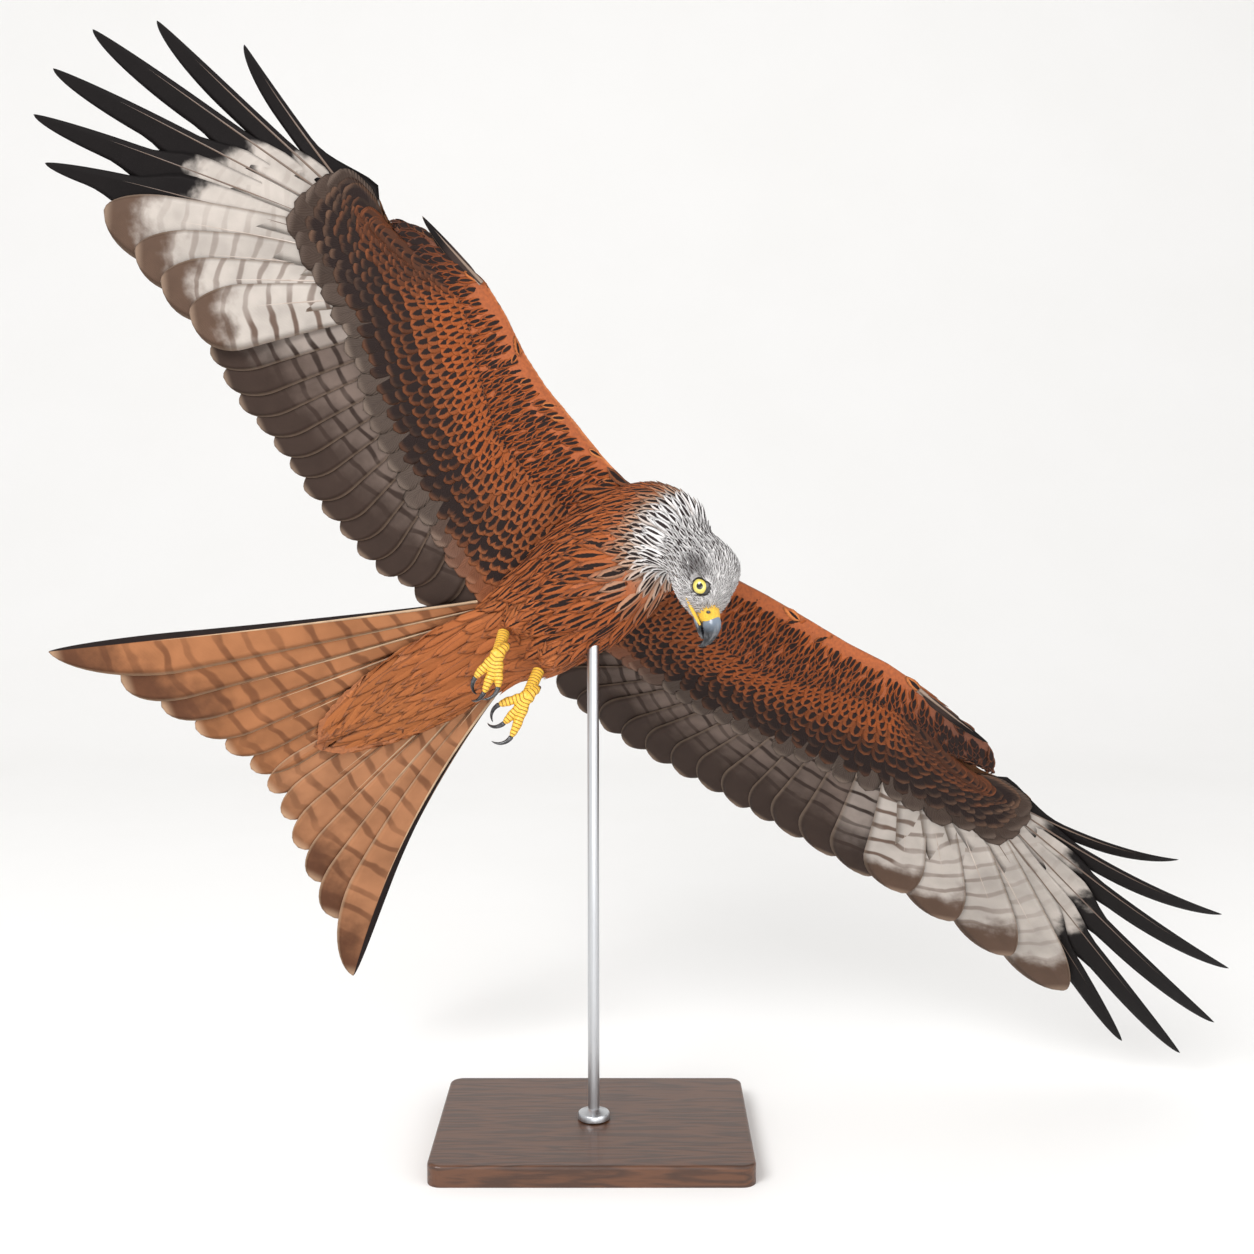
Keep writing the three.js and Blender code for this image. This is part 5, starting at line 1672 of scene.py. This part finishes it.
def build_stand():
    """The base board and the rod with its collar."""
    form = bmesh.new()
    place = Matrix.Translation((0, 0, BASE_SIZE[2] / 2)) @ Matrix.Diagonal((*BASE_SIZE, 1))
    bmesh.ops.create_cube(form, size=1.0, matrix=place)
    upright = [e for e in form.edges if abs(e.verts[0].co.z - e.verts[1].co.z) > 0.01]
    bevelled(form, upright, BASE_CORNER, 8)
    top = [e for e in form.edges if all(v.co.z > BASE_SIZE[2] - 1e-5 for v in e.verts)]
    bevelled(form, top, BASE_EDGE, 4)
    settle(made(form, "base_board", False), wood_paint(), "base_wood", "stand_base")
    form = bmesh.new()
    corners = [form.verts.new((x * MM, 0, z * MM)) for x, z in ROD_PROFILE]
    edges = [form.edges.new(pair) for pair in zip(corners, corners[1:])]
    bmesh.ops.spin(form, geom=corners + edges, cent=(0, 0, 0), axis=(0, 0, 1), angle=math.tau,
                   steps=48, use_merge=True)
    bmesh.ops.remove_doubles(form, verts=form.verts, dist=SAME_PLACE)
    bmesh.ops.recalc_face_normals(form, faces=form.faces)
    rod = made(form, "rod_turned")
    rod.data.set_sharp_from_angle(angle=math.radians(35))
    settle(rod, steel_paint(), "rod_steel", "stand_rod")


build_stand()

# %% [markdown]
# The set is a pale sweep that rises behind the bird, so no horizon shows, under a pale sky with
# one broad light from the upper left, a weaker one from the right and a low one for the belly.

# %% Stage and light
SKY_STRENGTH = 0.78
LIGHTS = (
    # name, place, height of the aim, size in metres and power in watts
    ("key", (-1.6, -2.2, 2.4), 0.5, 1.6, 72), ("fill", (2.0, -1.6, 1.0), 0.5, 2.0, 18),
    ("under", (0.2, -1.4, 0.12), 0.55, 1.2, 9),
)
FLOOR_SIZE, FLOOR_BACK, SWEEP = 4.0, 3.4, 1.6


def build_stage():
    """A floor that turns up into a wall behind the bird."""
    form = bmesh.new()
    bmesh.ops.create_grid(form, x_segments=1, y_segments=1, size=FLOOR_SIZE,
                          matrix=Matrix.Translation((0, FLOOR_BACK - FLOOR_SIZE, 0)))
    back = [e for e in form.edges if all(v.co.y > 3 for v in e.verts)]
    risen = bmesh.ops.extrude_edge_only(form, edges=back)["geom"]
    lifted = [g for g in risen if isinstance(g, bmesh.types.BMVert)]
    bmesh.ops.translate(form, vec=(0, 0.4, 5), verts=lifted)
    fold = [e for e in form.edges
            if all(abs(v.co.y - FLOOR_BACK) < 1e-4 and abs(v.co.z) < 1e-4 for v in e.verts)]
    bevelled(form, fold, SWEEP, 16)
    floor = made(form, "floor")
    paint = Paint("pale_floor")
    pale = paint.blend(paint.noise(paint.place(), 3.0), tint(244, 243, 241), tint(248, 247, 246))
    floor.data.materials.append(paint.finish(pale, 0.9))


def add_light(name, place, height, size, power):
    """A round soft light that shines on the stand's axis at a height."""
    data = bpy.data.lights.new(name, "AREA")
    data.energy = power
    data.shape = "DISK"
    data.size = size
    light = bpy.data.objects.new(name, data)
    light.location = place
    way = Vector((0, 0, height)) - Vector(place)
    light.rotation_euler = way.to_track_quat("-Z", "Y").to_euler()
    bpy.context.collection.objects.link(light)


build_stage()
world = bpy.data.worlds.new("world")
world.use_nodes = True
sky = world.node_tree.nodes["Background"]
sky.inputs["Color"].default_value = (1.0, 1.0, 1.0, 1.0)
sky.inputs["Strength"].default_value = SKY_STRENGTH
bpy.context.scene.world = world
for light in LIGHTS:
    add_light(*light)
bpy.context.scene.view_settings.view_transform = "Standard"
